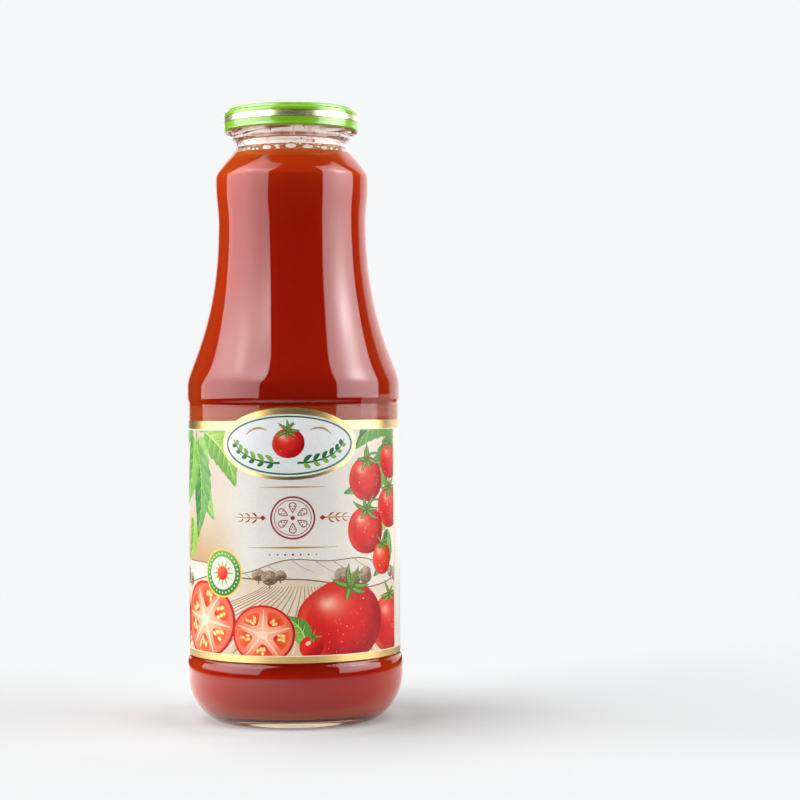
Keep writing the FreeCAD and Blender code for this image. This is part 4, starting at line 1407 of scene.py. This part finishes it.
# --- leaves: a spray at the upper left, more on the right behind the truss
SPRING = ((176, 208, 96), (104, 160, 62))
DEEP = ((128, 178, 92), (62, 124, 66))
leaf((-40, 119.5), (-22.5, 97.5), 7.6, SPRING, bend=0.14, teeth=7)
leaf((-44, 117.5), (-34.0, 84.0), 8.2, ((164, 204, 104), (98, 160, 66)), bend=-0.12, teeth=8)
leaf((-47, 115.5), (-46.5, 76.0), 8.0, DEEP, bend=0.10, teeth=8)
leaf((-50, 117.5), (-66.0, 88.0), 8.0, ((150, 196, 96), (84, 146, 66)), bend=0.14, teeth=7)
leaf((-51, 121.5), (-78.0, 106.0), 7.4, DEEP, bend=-0.16, teeth=7)
leaf((-51.5, 84.5), (-58.0, 66.0), 5.4, SPRING, bend=0.16, teeth=5)
stroke(curve((-49, 123.6), (-48, 121), (-45, 119), (-38, 119.6), 10), flat(150, 178, 70), 0.8, 0.4)
stroke(curve((-47.5, 120.5), (-47.4, 118.5), (-47.0, 116.8), (-46.6, 110), 8), flat(142, 172, 68), 0.7, 0.35)

leaf((55.0, 122.5), (28.0, 112.0), 7.4, DEEP, bend=-0.18, teeth=7)
leaf((53.0, 118.0), (22.5, 94.5), 7.6, ((140, 186, 112), (78, 140, 84)), bend=0.14, teeth=8)
leaf((47.0, 82.0), (27.0, 72.5), 5.6, SPRING, bend=-0.2, teeth=6)
leaf((48.5, 79.0), (37.5, 60.5), 5.4, DEEP, bend=0.15, teeth=6)

# --- truss of cherry tomatoes at the right
main_stem = curve((53.5, 120.4), (51.0, 108), (44.5, 97), (41.5, 74.5), 22)
TRUSS = ((50.0, 107.4, 7.6, 61), (34.2, 100.0, 9.0, 62), (49.6, 88.6, 8.8, 63), (34.0, 79.6, 9.6, 64))
for (x, z, r, sd) in TRUSS:
    j = min(main_stem, key=lambda p: (p[0] - x) ** 2 + (p[1] - (z + r * 1.5)) ** 2)
    stroke(curve(j, ((j[0] + x) / 2, j[1] + 1.6), (x, z + r + 3.0), (x, z + r * 0.8), 8), flat(108, 150, 62), 0.5, 0.6)
stroke(main_stem, flat(98, 142, 58), 0.85, 0.55)
stroke([(p[0] - 0.25, p[1]) for p in main_stem], flat(152, 188, 92), 0.25, 0.18)
for (x, z, r, sd) in TRUSS:
    tomato(x, z, r, r * 1.02, sd, deep=(160, 8, 18), main=(214, 28, 26), lit=(238, 84, 58))
    calyx(x, z + r * 0.86, r * 0.72, sd + 9, stem=False)
tomato(43.6, 67.6, 6.4, 6.6, 65, deep=(178, 22, 20), main=(220, 52, 30), lit=(244, 128, 74))
calyx(43.4, 73.4, 4.6, 75, stem=False)

# --- bottom row: whole tomatoes, slices
tomato(50.5, 41.0, 14.5, 13.0, 11, deep=(140, 6, 16), main=(194, 24, 24), lit=(224, 68, 50), shine=0.6)
calyx(48.8, 52.6, 6.5, 12, stem=False)
tomato(-70.5, 41.5, 14.0, 13.5, 13, main=(214, 34, 30), shine=0.8)
calyx(-69.0, 53.6, 7.0, 14)
tomato(22.5, 43.6, 19.4, 16.6, 15)
calyx(25.5, 57.6, 9.4, 16)
leaf((7.0, 33.5), (-3.5, 46.5), 4.4, ((150, 194, 84), (78, 138, 56)), bend=-0.16, teeth=5)
slice_round(-40.5, 43.6, 17.6, 15.6, 17, locules=6, turn=0.35)
slice_round(-11.0, 38.8, 13.2, 11.8, 19, locules=5, turn=0.9)
add_shape(ellipse(8.6, 33.8, 4.9, 4.6, n=32, wave=0.03, seed=5), lambda s, z: mix(rgb(226, 44, 32), rgb(170, 12, 20), smoothstep(-3, 5, (s - 8.6) - (z - 33.8))))
add_shape(ellipse(7.3, 35.4, 1.2, 0.8, turn=0.5, n=12), flat(250, 196, 178))
calyx(9.0, 38.0, 3.6, 21, stem=False)

# --- round medallion, at the left above the slices
MX, MZ, MR = -29.5, 62.8, 9.8
add_shape(ellipse(MX, MZ, MR, MR, n=64), flat(236, 200, 92))
add_shape(ellipse(MX, MZ, MR * 0.93, MR * 0.93, n=64),
          lambda s, z: mix(rgb(52, 128, 50), rgb(104, 172, 64), smoothstep(-8, 8, (z - MZ) - 0.4 * (s - MX))))
for k in range(28):
    a = TAU * k / 28
    add_shape(ellipse(MX + MR * 0.80 * math.cos(a), MZ + MR * 0.80 * math.sin(a), 0.36, 0.36, n=8), flat(226, 232, 196))
add_shape(ellipse(MX, MZ, MR * 0.67, MR * 0.67, n=52), flat(229, 230, 224))
for k in range(12):
    a0 = TAU * k / 12
    tip = (MX + MR * 0.60 * math.cos(a0), MZ + MR * 0.60 * math.sin(a0))
    l = (MX + MR * 0.30 * math.cos(a0 - 0.2), MZ + MR * 0.30 * math.sin(a0 - 0.2))
    r_ = (MX + MR * 0.30 * math.cos(a0 + 0.2), MZ + MR * 0.30 * math.sin(a0 + 0.2))
    add_shape([l, tip, r_], flat(*((232, 178, 60) if k % 2 else (150, 190, 70))))
add_shape(ellipse(MX, MZ, MR * 0.29, MR * 0.29, n=30), lambda s, z: mix(rgb(214, 40, 32), rgb(240, 96, 58), smoothstep(-2.5, 3, (z - MZ) - (s - MX))))

# --- centre: a tomato drawn in dark red line, between thin gold rules
RED = flat(150, 34, 44)
RX, RZ = 1.5, 85.2
for q, w in ((8.2, 0.36), (7.0, 0.16)):
    pts = ellipse(RX, RZ, q * 1.06, q, n=64, wave=0.012, seed=8)
    pts.append(pts[0])
    stroke(pts, RED, w)
for k in range(6):
    a = math.pi / 2 + TAU * k / 6
    d = 0.34
    loop = []
    for i in range(25):
        t = TAU * i / 24
        q = 4.1 + 1.9 * math.cos(t)
        b = a + d * math.sin(t) * (0.75 + 0.25 * math.cos(t))
        loop.append((RX + 1.06 * q * math.cos(b), RZ + q * math.sin(b)))
    stroke(loop, RED, 0.2)
    for b, q in ((a - 0.14, 4.6), (a + 0.14, 4.6), (a, 3.6)):
        add_shape(ellipse(RX + 1.06 * q * math.cos(b), RZ + q * math.sin(b), 0.42, 0.24, turn=b, n=8), RED)
add_shape(ellipse(RX, RZ, 0.9, 0.85, n=14), RED)
for sgn in (1, -1):
    stroke([(RX + sgn * 11.5, RZ), (RX + sgn * 18, RZ), (RX + sgn * 24.5, RZ)], rule_gold, 0.32, 0.06, 0.3)
    add_shape([(RX + sgn * 10.8, RZ), (RX + sgn * 12.0, RZ + 1.1), (RX + sgn * 13.2, RZ), (RX + sgn * 12.0, RZ - 1.1)], RED)
    for k in range(3):
        x = RX + sgn * (14.6 + 3.0 * k)
        for up in (1, -1):
            stroke(curve((x, RZ + up * 0.4), (x + sgn * 0.5, RZ + up * 1.3), (x + sgn * 1.4, RZ + up * 1.9),
                         (x + sgn * 2.2, RZ + up * (1.9 - 0.35 * k)), 6), RED, 0.22, 0.06, 0.34 - 0.06 * k)
stroke([(-17, 73.4), (1.5, 73.4), (20, 73.4)], rule_gold, 0.06, 0.06, 0.42)
stroke([(-12, 97.4), (1.5, 97.4), (15, 97.4)], rule_gold, 0.06, 0.06, 0.36)
for k in range(-3, 4):
    add_shape(ellipse(RX + k * 3.1, 70.6, 0.5 - 0.06 * abs(k), 0.5 - 0.06 * abs(k), n=10), RED)

# --- gold band and foot line
add_shape([(S_MIN, BAND_HI), (S_MAX, BAND_HI), (S_MAX, Z_MAX), (S_MIN, Z_MAX)], flat(232, 150, 110), -1.0)
add_shape([(S_MIN, BAND_LO), (S_MAX, BAND_LO), (S_MAX, BAND_HI), (S_MIN, BAND_HI)], gold_tone, 1.0)
add_shape([(S_MIN, BAND_LO - 0.5), (S_MAX, BAND_LO - 0.5), (S_MAX, BAND_LO), (S_MIN, BAND_LO)], flat(236, 232, 214))
add_shape([(S_MIN, FOOT_HI), (S_MAX, FOOT_HI), (S_MAX, FOOT_HI + 0.35), (S_MIN, FOOT_HI + 0.35)], flat(240, 226, 190))
add_shape([(S_MIN, FOOT_LO), (S_MAX, FOOT_LO), (S_MAX, FOOT_HI), (S_MIN, FOOT_HI)], gold_tone, 1.0)

# --- plaque: gold rim, green line, white field with two green sprays round a small tomato
PX, PZ, PW, PH = PLAQUE


def oval(grow):
    return ellipse(PX, PZ, PW + grow, PH + grow, n=96)


add_shape(oval(0.0), gold_tone, 1.0)
add_shape([(x, z if z < PZ else PZ + (z - PZ) * 0.9) for x, z in oval(-1.3)], flat(236, 240, 236))
add_shape([(x, z if z < PZ else PZ + (z - PZ) * 0.9) for x, z in oval(-2.0)], flat(44, 104, 62))
add_shape([(x, z if z < PZ else PZ + (z - PZ) * 0.9) for x, z in oval(-2.7)],
          lambda s, z: mix(rgb(245, 246, 248), rgb(236, 238, 240), smoothstep(6, -11, z - PZ)))
GREEN = flat(36, 108, 62)
LIME = flat(126, 178, 66)
for sgn in (1, -1):
    arc = curve((PX + sgn * 3.5, PZ - 7.6), (PX + sgn * 12.5, PZ - 7.8), (PX + sgn * 21.5, PZ - 4.2), (PX + sgn * 23.0, PZ + 1.8), 20)
    stroke(arc, GREEN, 0.45, 0.16)
    for k in range(2, 20, 3):
        x, z = arc[k]
        dx, dz = arc[k + 1][0] - arc[k - 1][0], arc[k + 1][1] - arc[k - 1][1]
        d = math.hypot(dx, dz)
        ux, uz = dx / d, dz / d
        for up, tone in ((1, GREEN), (-1, LIME)):
            l = 4.6 - 0.13 * k if up * sgn > 0 else 3.4 - 0.09 * k
            nx, nz = -uz * up, ux * up
            p3 = (x + (ux * 0.8 + nx * 0.62) * l, z + (uz * 0.8 + nz * 0.62) * l)
            line = curve((x, z), (x + nx * l * 0.25 + ux * l * 0.1, z + nz * l * 0.25 + uz * l * 0.1),
                         (p3[0] - ux * l * 0.3, p3[1] - uz * l * 0.3), p3, 8)
            stroke(line, tone, 0.1, 0.06, 0.85)
    stroke(curve((PX + sgn * 8.6, PZ + 5.4), (PX + sgn * 12, PZ + 7.0), (PX + sgn * 15, PZ + 6.4), (PX + sgn * 17.4, PZ + 3.6), 12),
           rule_gold, 0.12, 0.1, 0.42)
tomato(PX, PZ + 0.2, 6.6, 5.9, 31, deep=(170, 14, 22), main=(218, 34, 32), lit=(240, 96, 70))
calyx(PX, PZ + 5.0, 5.2, 32, turn=0.3)

# --- back of the label (s from S_MIN up to -100): framed panel, sprig, small icons
BACK_R = -101.0


def pale_ground(s, z):
    c = mix(rgb(238, 234, 226), rgb(231, 220, 204), smoothstep(84, 34, z))
    return c + 4 * (fbm(s, z, 8, 7)[:, None] - 0.5)


add_shape([(S_MIN, FOOT_HI + 0.35), (BACK_R, FOOT_HI + 0.35), (BACK_R, BAND_LO - 0.5), (S_MIN, BAND_LO - 0.5)], pale_ground)
stroke([(BACK_R, FOOT_HI + 0.35), (BACK_R, 75), (BACK_R, BAND_LO - 0.5)], gold, 0.3, 0.3, 0.3, metal=1.0)
stroke([(S_MIN + 0.9, FOOT_HI + 0.35), (S_MIN + 0.9, 75), (S_MIN + 0.9, BAND_LO - 0.5)], gold, 0.3, 0.3, 0.3, metal=1.0)


def rounded(x0, z0, x1, z1, r, n=6):
    out = []
    for cx, cz, a0 in ((x1 - r, z1 - r, 0), (x0 + r, z1 - r, 90), (x0 + r, z0 + r, 180), (x1 - r, z0 + r, 270)):
        for i in range(n + 1):
            a = math.radians(a0 + 90 * i / n)
            out.append((cx + r * math.cos(a), cz + r * math.sin(a)))
    return out


for k in range(70):                             # columns of fine dots down its edge
    zz = 36.0 + 1.16 * k
    for dx, q in ((3.0, 0.30), (5.2, 0.24)):
        if (k * 7 + int(dx)) % 9:
            add_shape(ellipse(S_MIN + dx, zz, q, 0.36, n=6), flat(150, 142, 132))
BX0, BX1 = S_MIN + 12.0, S_MIN + 58.0           # framed panel, on the right side of the bottle
add_shape(rounded(BX0, 44, BX1, 112, 3.0), gold, 1.0)
add_shape(rounded(BX0 + 0.7, 44.7, BX1 - 0.7, 111.3, 2.5), flat(238, 237, 232))
TABLE = flat(150, 148, 144)
for k in range(8):
    zz = 104.5 - 5.2 * k
    w = 0.28 if k in (0, 7) else 0.13
    stroke([(BX0 + 4, zz), ((BX0 + BX1) / 2, zz), (BX1 - 4, zz)], TABLE, w)
for x in (BX0 + 4, BX0 + 28, BX1 - 4):
    stroke([(x, 68.1), (x, 86), (x, 104.5)], TABLE, 0.15)
for k in range(3):
    cx, cz = BX0 + 10.5 + 12.5 * k, 56.2
    add_shape(ellipse(cx, cz, 5.0, 5.0, n=36), flat(92, 148, 70))
    add_shape(ellipse(cx, cz, 4.5, 4.5, n=36), flat(238, 237, 232))
    if k == 0:      # a tumbler
        stroke([(cx - 2.0, cz + 2.6), (cx - 1.5, cz - 2.6), (cx + 1.5, cz - 2.6), (cx + 2.0, cz + 2.6)], flat(92, 148, 70), 0.26)
        add_shape([(cx - 1.7, cz + 0.9), (cx - 1.3, cz - 2.2), (cx + 1.3, cz - 2.2), (cx + 1.7, cz + 0.9)], flat(206, 48, 38))
    elif k == 1:    # a drop
        drop = [(cx, cz + 3.0)] + [(cx + 1.9 * math.cos(math.radians(a)), cz - 0.7 + 1.9 * math.sin(math.radians(a)))
                                   for a in range(25, -206, -21)]
        add_shape(drop, flat(206, 48, 38))
    else:           # a leaf
        leaf((cx - 1.8, cz - 2.4), (cx + 1.8, cz + 2.7), 1.7, SPRING, bend=0.1, teeth=4, vein=False)
        stroke([(cx - 2.2, cz - 3.0), (cx, cz), (cx + 1.2, cz + 1.8)], flat(238, 237, 232), 0.14)

SX = S_MIN + 86.0                               # sprig and tomatoes, on the back left
stroke(curve((SX - 4, 52), (SX + 3, 70), (SX - 5, 88), (SX + 4, 110), 24), flat(120, 160, 72), 0.75, 0.3)
for k, (t, sgn) in enumerate(((0.12, 1), (0.26, -1), (0.40, 1), (0.54, -1), (0.68, 1), (0.80, -1))):
    c = curve((SX - 4, 52), (SX + 3, 70), (SX - 5, 88), (SX + 4, 110), 50)[int(t * 50)]
    leaf(c, (c[0] + sgn * (15.5 - 1.4 * k), c[1] + 7.5), 4.6 - 0.3 * k, SPRING if k % 2 else DEEP, bend=0.12 * sgn, teeth=6)
c = (SX + 4, 110)
leaf((SX + 3.4, 107.5), (SX + 6.5, 118.5), 3.4, SPRING, bend=0.1, teeth=5)
tomato(SX - 13.0, 43.5, 11.5, 10.8, 81, main=(217, 34, 31))
calyx(SX - 12.0, 53.0, 6.0, 82)
tomato(SX + 15.0, 41.0, 9.0, 8.6, 83, main=(213, 36, 30), shine=0.8)
calyx(SX + 15.5, 48.8, 5.0, 84)
slice_round(SX + 2.0, 40.2, 9.6, 9.0, 85, locules=5)

# --- cut the drawing into faces

def inside(poly, x, y):
    """Which of the points lie inside a closed outline (non-zero winding)."""
    wind = np.zeros(len(x), int)
    q = np.roll(poly, -1, axis=0)
    for (ax, ay), (bx, by) in zip(poly, q):
        if ay == by:
            continue
        side = (bx - ax) * (y - ay) - (x - ax) * (by - ay)
        wind += ((ay <= y) & (by > y) & (side > 0)).astype(int)
        wind -= ((ay > y) & (by <= y) & (side < 0)).astype(int)
    return wind != 0


def flatten_shapes():
    pts, edges = [], []
    for poly, _, _ in shapes:
        base = len(pts)
        n = len(poly)
        pts.extend((float(a), float(b)) for a, b in poly)
        edges.extend((base + i, base + (i + 1) % n) for i in range(n))
    # grid points between, close in front and wider at the back, none right on an edge
    taken = set()
    cell = 0.34
    for poly, _, _ in shapes:
        nxt = np.roll(poly, -1, axis=0)
        for a, b in zip(poly, nxt):
            n = max(1, int(math.hypot(*(b - a)) / (cell * 0.7)))
            for i in range(n):
                c = a + (b - a) * (i / n)
                taken.add((int(c[0] // cell), int(c[1] // cell)))
    grid = []

    def fill(x0, x1, z0, z1, step):
        nx, nz = int((x1 - x0) / step), int((z1 - z0) / step)
        for j in range(nz + 1):
            for i in range(nx + 1):
                x = x0 + (x1 - x0) * (i + (0.5 if j % 2 and i < nx else 0)) / nx
                z = z0 + (z1 - z0) * j / nz
                if (int(x // cell), int(z // cell)) not in taken:
                    grid.append((x, z))
    fill(S_MIN, BACK_R, Z_MIN, Z_MAX, 1.7)
    fill(BACK_R + 0.8, S_MAX, Z_MIN, Z_MAX, 0.95)
    return pts + grid, edges


pts2, edges2 = flatten_shapes()
cdt = geometry.delaunay_2d_cdt([Vector(p) for p in pts2], edges2, [], 0, 1e-5, False)
sheet_xy = np.array([(v[0], v[1]) for v in cdt[0]])
sheet_tri = np.array([f for f in cdt[2] if len(f) == 3], int)
cen = sheet_xy[sheet_tri].mean(axis=1)
keep = (cen[:, 0] > S_MIN) & (cen[:, 0] < S_MAX) & (cen[:, 1] > Z_MIN) & (cen[:, 1] < Z_MAX)
sheet_tri, cen = sheet_tri[keep], cen[keep]
a, b, c = (sheet_xy[sheet_tri[:, k]] for k in range(3))
double_area = (b[:, 0] - a[:, 0]) * (c[:, 1] - a[:, 1]) - (c[:, 0] - a[:, 0]) * (b[:, 1] - a[:, 1])
sheet_tri[double_area < 0] = sheet_tri[double_area < 0][:, ::-1]
top = np.zeros(len(cen), int)
order = np.argsort(cen[:, 0])
cx_sorted = cen[order, 0]
for k, (poly, _, _) in enumerate(shapes):
    lo, hi = poly.min(axis=0), poly.max(axis=0)
    i0, i1 = np.searchsorted(cx_sorted, (lo[0], hi[0]))
    near_by = order[i0:i1]
    near_by = near_by[(cen[near_by, 1] >= lo[1]) & (cen[near_by, 1] <= hi[1])]
    if len(near_by):
        top[near_by[inside(poly, cen[near_by, 0], cen[near_by, 1])]] = k

corner_xy = sheet_xy[sheet_tri]                 # (faces, 3, 2)
corner_colour = np.zeros((len(sheet_tri), 3, 4))
for k in np.unique(top):
    rows = np.nonzero(top == k)[0]
    xy = corner_xy[rows].reshape(-1, 2)
    c = np.clip(np.asarray(shapes[k][1](xy[:, 0], xy[:, 1]), float), 0, 255) / 255
    c = np.where(c <= 0.04045, c / 12.92, ((c + 0.055) / 1.055) ** 2.4)
    corner_colour[rows, :, :3] = c.reshape(-1, 3, 3)
    corner_colour[rows, :, 3] = max(shapes[k][2], 0.0)
metal_of = np.array([s[2] for s in shapes])
print("label sheet:", len(shapes), "shapes,", len(sheet_tri), "faces")


def wrap(s, z, r):
    """Flat (s, z) to a point (metres) on a cylinder of radius r; s = 0 faces the front."""
    a = s / R0 - math.pi / 2
    return r * math.cos(a) * MM, r * math.sin(a) * MM, z * MM


def sheet_shell(name, xy, tri, r_out, r_in, coarse, material_list, material_of=None, colours=None):
    """A closed thin sheet: the outside as cut, a plainer inside, and walls round the border."""
    used = np.unique(tri)
    remap = -np.ones(len(xy), int)
    remap[used] = np.arange(len(used))
    xy, tri = xy[used], remap[tri]
    count = {}
    for t in tri:
        for i in range(3):
            e = (int(t[i]), int(t[(i + 1) % 3]))
            count[e] = count.get(e, 0) + 1
    border = [e for e in count if (e[1], e[0]) not in count]
    rim = sorted({v for e in border for v in e})
    rim_no = {v: i for i, v in enumerate(rim)}
    s0, s1, z0, z1 = xy[:, 0].min(), xy[:, 0].max(), xy[:, 1].min(), xy[:, 1].max()
    pts = [tuple(map(float, xy[v])) for v in rim]
    ns, nz = max(1, int((s1 - s0) / coarse)), max(1, int((z1 - z0) / coarse))
    for i in range(1, ns):
        for j in range(1, nz):
            pts.append((s0 + (s1 - s0) * i / ns, z0 + (z1 - z0) * j / nz))
    cut = geometry.delaunay_2d_cdt([Vector(p) for p in pts], [(rim_no[a], rim_no[b]) for a, b in border], [], 0, 1e-7, True)
    n_out = len(xy)
    verts = [wrap(s, z, r_out(s, z)) for s, z in xy]
    faces = [tuple(map(int, t)) for t in tri]
    inner_no = {}
    for i, v in enumerate(cut[0]):
        verts.append(wrap(v[0], v[1], r_in(v[0], v[1])))
        for o in cut[3][i]:
            if o < len(rim):
                inner_no[rim[o]] = n_out + i
    inner_xy = np.array([(v[0], v[1]) for v in cut[0]])
    inner_tri = np.array([f for f in cut[2] if len(f) == 3], int)
    mid = inner_xy[inner_tri].mean(axis=1)
    turns = np.zeros(len(mid), int)
    for a, b in border:
        (ax, ay), (bx, by) = xy[a], xy[b]
        side = (bx - ax) * (mid[:, 1] - ay) - (mid[:, 0] - ax) * (by - ay)
        turns += ((ay <= mid[:, 1]) & (by > mid[:, 1]) & (side > 0)).astype(int)
        turns -= ((ay > mid[:, 1]) & (by <= mid[:, 1]) & (side < 0)).astype(int)
    for f in inner_tri[turns != 0]:
        faces.append(tuple(n_out + int(v) for v in reversed(f)))
    for a, b in border:
        faces.append((b, a, inner_no[a], inner_no[b]))
    mesh = bpy.data.meshes.new(name)
    mesh.from_pydata(verts, [], faces)
    for m in material_list:
        mesh.materials.append(m)
    if material_of is not None:
        idx = np.zeros(len(faces), np.int32)
        idx[:len(tri)] = material_of
        mesh.polygons.foreach_set("material_index", idx)
    if colours is not None:
        layer = mesh.color_attributes.new("print", "FLOAT_COLOR", "CORNER")
        data = np.ones((len(mesh.loops), 4), np.float32)
        data[:len(tri) * 3] = colours.reshape(-1, 4)
        back_of = np.array([0.80, 0.79, 0.76, 0.0], np.float32)
        data[len(tri) * 3:] = back_of
        layer.data.foreach_set("color", data.ravel())
    mesh.polygons.foreach_set("use_smooth", [True] * len(mesh.polygons))
    mesh.update()
    mesh.set_sharp_from_angle(angle=math.radians(40))
    ob = bpy.data.objects.new(name, mesh)
    scene.collection.objects.link(ob)
    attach(ob, "root")
    return ob


def print_material():
    """Printed and laminated film: ink colours from the drawing, foil where it is gold, under a clear gloss."""
    m, nt, out = node_material("printed_label")
    at = add(nt, "ShaderNodeAttribute", attribute_name="print")
    tc = add(nt, "ShaderNodeTexCoord")
    grain = add(nt, "ShaderNodeTexNoise", Scale=900.0, Detail=3.0, Roughness=0.7)
    nt.links.new(tc.outputs["Object"], grain.inputs["Vector"])
    broad = add(nt, "ShaderNodeTexNoise", Scale=38.0, Detail=3.0)
    nt.links.new(tc.outputs["Object"], broad.inputs["Vector"])
    level = add(nt, "ShaderNodeMapRange")
    nt.links.new(grain.outputs["Fac"], level.inputs["Value"])
    level.inputs["From Min"].default_value = 0.25
    level.inputs["From Max"].default_value = 0.75
    level.inputs["To Min"].default_value = 0.955
    level.inputs["To Max"].default_value = 1.045
    ink = add(nt, "ShaderNodeVectorMath", operation="SCALE")
    nt.links.new(at.outputs["Color"], ink.inputs[0])
    nt.links.new(level.outputs["Result"], ink.inputs["Scale"])
    p = add(nt, "ShaderNodeBsdfPrincipled")
    nt.links.new(ink.outputs[0], p.inputs["Base Color"])
    nt.links.new(at.outputs["Alpha"], p.inputs["Metallic"])
    rough = add(nt, "ShaderNodeMapRange")
    nt.links.new(broad.outputs["Fac"], rough.inputs["Value"])
    rough.inputs["From Min"].default_value = 0.3
    rough.inputs["From Max"].default_value = 0.7
    rough.inputs["To Min"].default_value = 0.30
    rough.inputs["To Max"].default_value = 0.42
    nt.links.new(rough.outputs["Result"], p.inputs["Roughness"])
    p.inputs["Specular IOR Level"].default_value = 0.22
    p.inputs["Coat Weight"].default_value = 0.14
    p.inputs["Coat Roughness"].default_value = 0.14
    p.inputs["Coat IOR"].default_value = 1.42
    bump = add(nt, "ShaderNodeBump")
    bump.inputs["Strength"].default_value = 0.10
    bump.inputs["Distance"].default_value = 0.0006
    nt.links.new(broad.outputs["Fac"], bump.inputs["Height"])
    nt.links.new(bump.outputs["Normal"], p.inputs["Normal"])
    nt.links.new(bump.outputs["Normal"], p.inputs["Coat Normal"])
    nt.links.new(p.outputs[0], out.inputs["Surface"])
    return m


def film_material(name, base, alpha, rough, from_z=None):
    m, nt, out = node_material(name)
    tc = add(nt, "ShaderNodeTexCoord")
    n1 = add(nt, "ShaderNodeTexNoise", Scale=55.0, Detail=4.0)
    nt.links.new(tc.outputs["Object"], n1.inputs["Vector"])
    var = add(nt, "ShaderNodeMapRange")
    nt.links.new(n1.outputs["Fac"], var.inputs["Value"])
    var.inputs["From Min"].default_value = 0.3
    var.inputs["From Max"].default_value = 0.7
    var.inputs["To Min"].default_value = alpha * 0.75
    var.inputs["To Max"].default_value = alpha * 1.25
    p = add(nt, "ShaderNodeBsdfPrincipled")
    p.inputs["Base Color"].default_value = (*base, 1)
    p.inputs["Roughness"].default_value = rough
    p.inputs["IOR"].default_value = 1.45
    shown = var.outputs["Result"]
    if from_z is not None:                      # all but lost against print that it lies flat on
        sep = add(nt, "ShaderNodeSeparateXYZ")
        nt.links.new(tc.outputs["Object"], sep.inputs[0])
        free = add(nt, "ShaderNodeMapRange", interpolation_type="SMOOTHSTEP")
        nt.links.new(sep.outputs["Z"], free.inputs["Value"])
        free.inputs["From Min"].default_value = (from_z - 1.0) * MM
        free.inputs["From Max"].default_value = (from_z + 1.5) * MM
        free.inputs["To Min"].default_value = 0.06
        shown = math_node(nt, "MULTIPLY", shown, free.outputs["Result"])
    nt.links.new(shown, p.inputs["Alpha"])
    nt.links.new(p.outputs[0], out.inputs["Surface"])
    return m


print_mat = print_material()
film_mat = film_material("clear_film", (0.75, 0.20, 0.05), 0.10, 0.14)
printed = metal_of[top] >= 0
label = sheet_shell("printed_sheet", sheet_xy, sheet_tri[printed], lambda s, z: PANEL + 0.195, lambda s, z: PANEL + 0.015,
                    3.0, [print_mat], None, corner_colour[printed])
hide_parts("label")
sheet_shell("clear_film", sheet_xy, sheet_tri[~printed], lambda s, z: PANEL + 0.17, lambda s, z: PANEL + 0.03, 3.0, [film_mat])

# the film's cut edge at the top, a thin step painted dark for the shade along it
edge_pts = [(PANEL + 0.02, Z_MAX - 0.16), (PANEL + 0.19, Z_MAX - 0.16), (PANEL + 0.21, Z_MAX - 0.02), (PANEL + 0.02, Z_MAX - 0.02)]
ev, ef = lathe(edge_pts, 180)
close_lathe(ev, ef, 180, 0, 3 * 180)
film_edge = make_object("film_edge", ev, ef, film_material("film_edge_painted_shade", (0.30, 0.05, 0.012), 0.75, 0.3))
film_edge.data.set_sharp_from_angle(angle=math.radians(40))
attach(film_edge, "root")

# the film's end, lapped over the outside and riding up on to the shoulder
LAP_A, LAP_B, LAP_LOW = 41.0, 70.5, 28.2
lap_s = [math.radians(LAP_A + (LAP_B - LAP_A) * i / 40) * R0 for i in range(41)]
lap_z = [LAP_LOW + (LAP_HIGH - LAP_LOW) * i / 60 for i in range(61)]
lap_xy = np.array([(s, z) for z in lap_z for s in lap_s])
lap_tri = []
for j in range(60):
    for i in range(40):
        q = j * 41 + i
        lap_tri += [(q, q + 1, q + 42), (q, q + 42, q + 41)]


def lap_r(base):
    def r(s, z):
        lift = 0.0 if z < PANEL_HIGH else 0.57 * float(smoothstep(PANEL_HIGH, PANEL_HIGH + 3.2, z))
        a = math.degrees(s / R0)
        edge = float(smoothstep(LAP_A, LAP_A + 1.2, a) * smoothstep(LAP_B, LAP_B - 1.2, a))
        return PANEL + base + lift + 0.03 * (1 - edge)
    return r


lap = sheet_shell("label_lap", lap_xy, np.array(lap_tri), lap_r(0.34), lap_r(0.22), 3.0,
                  [film_material("lap_film", (0.80, 0.55, 0.48), 0.10, 0.16, from_z=124.5)])
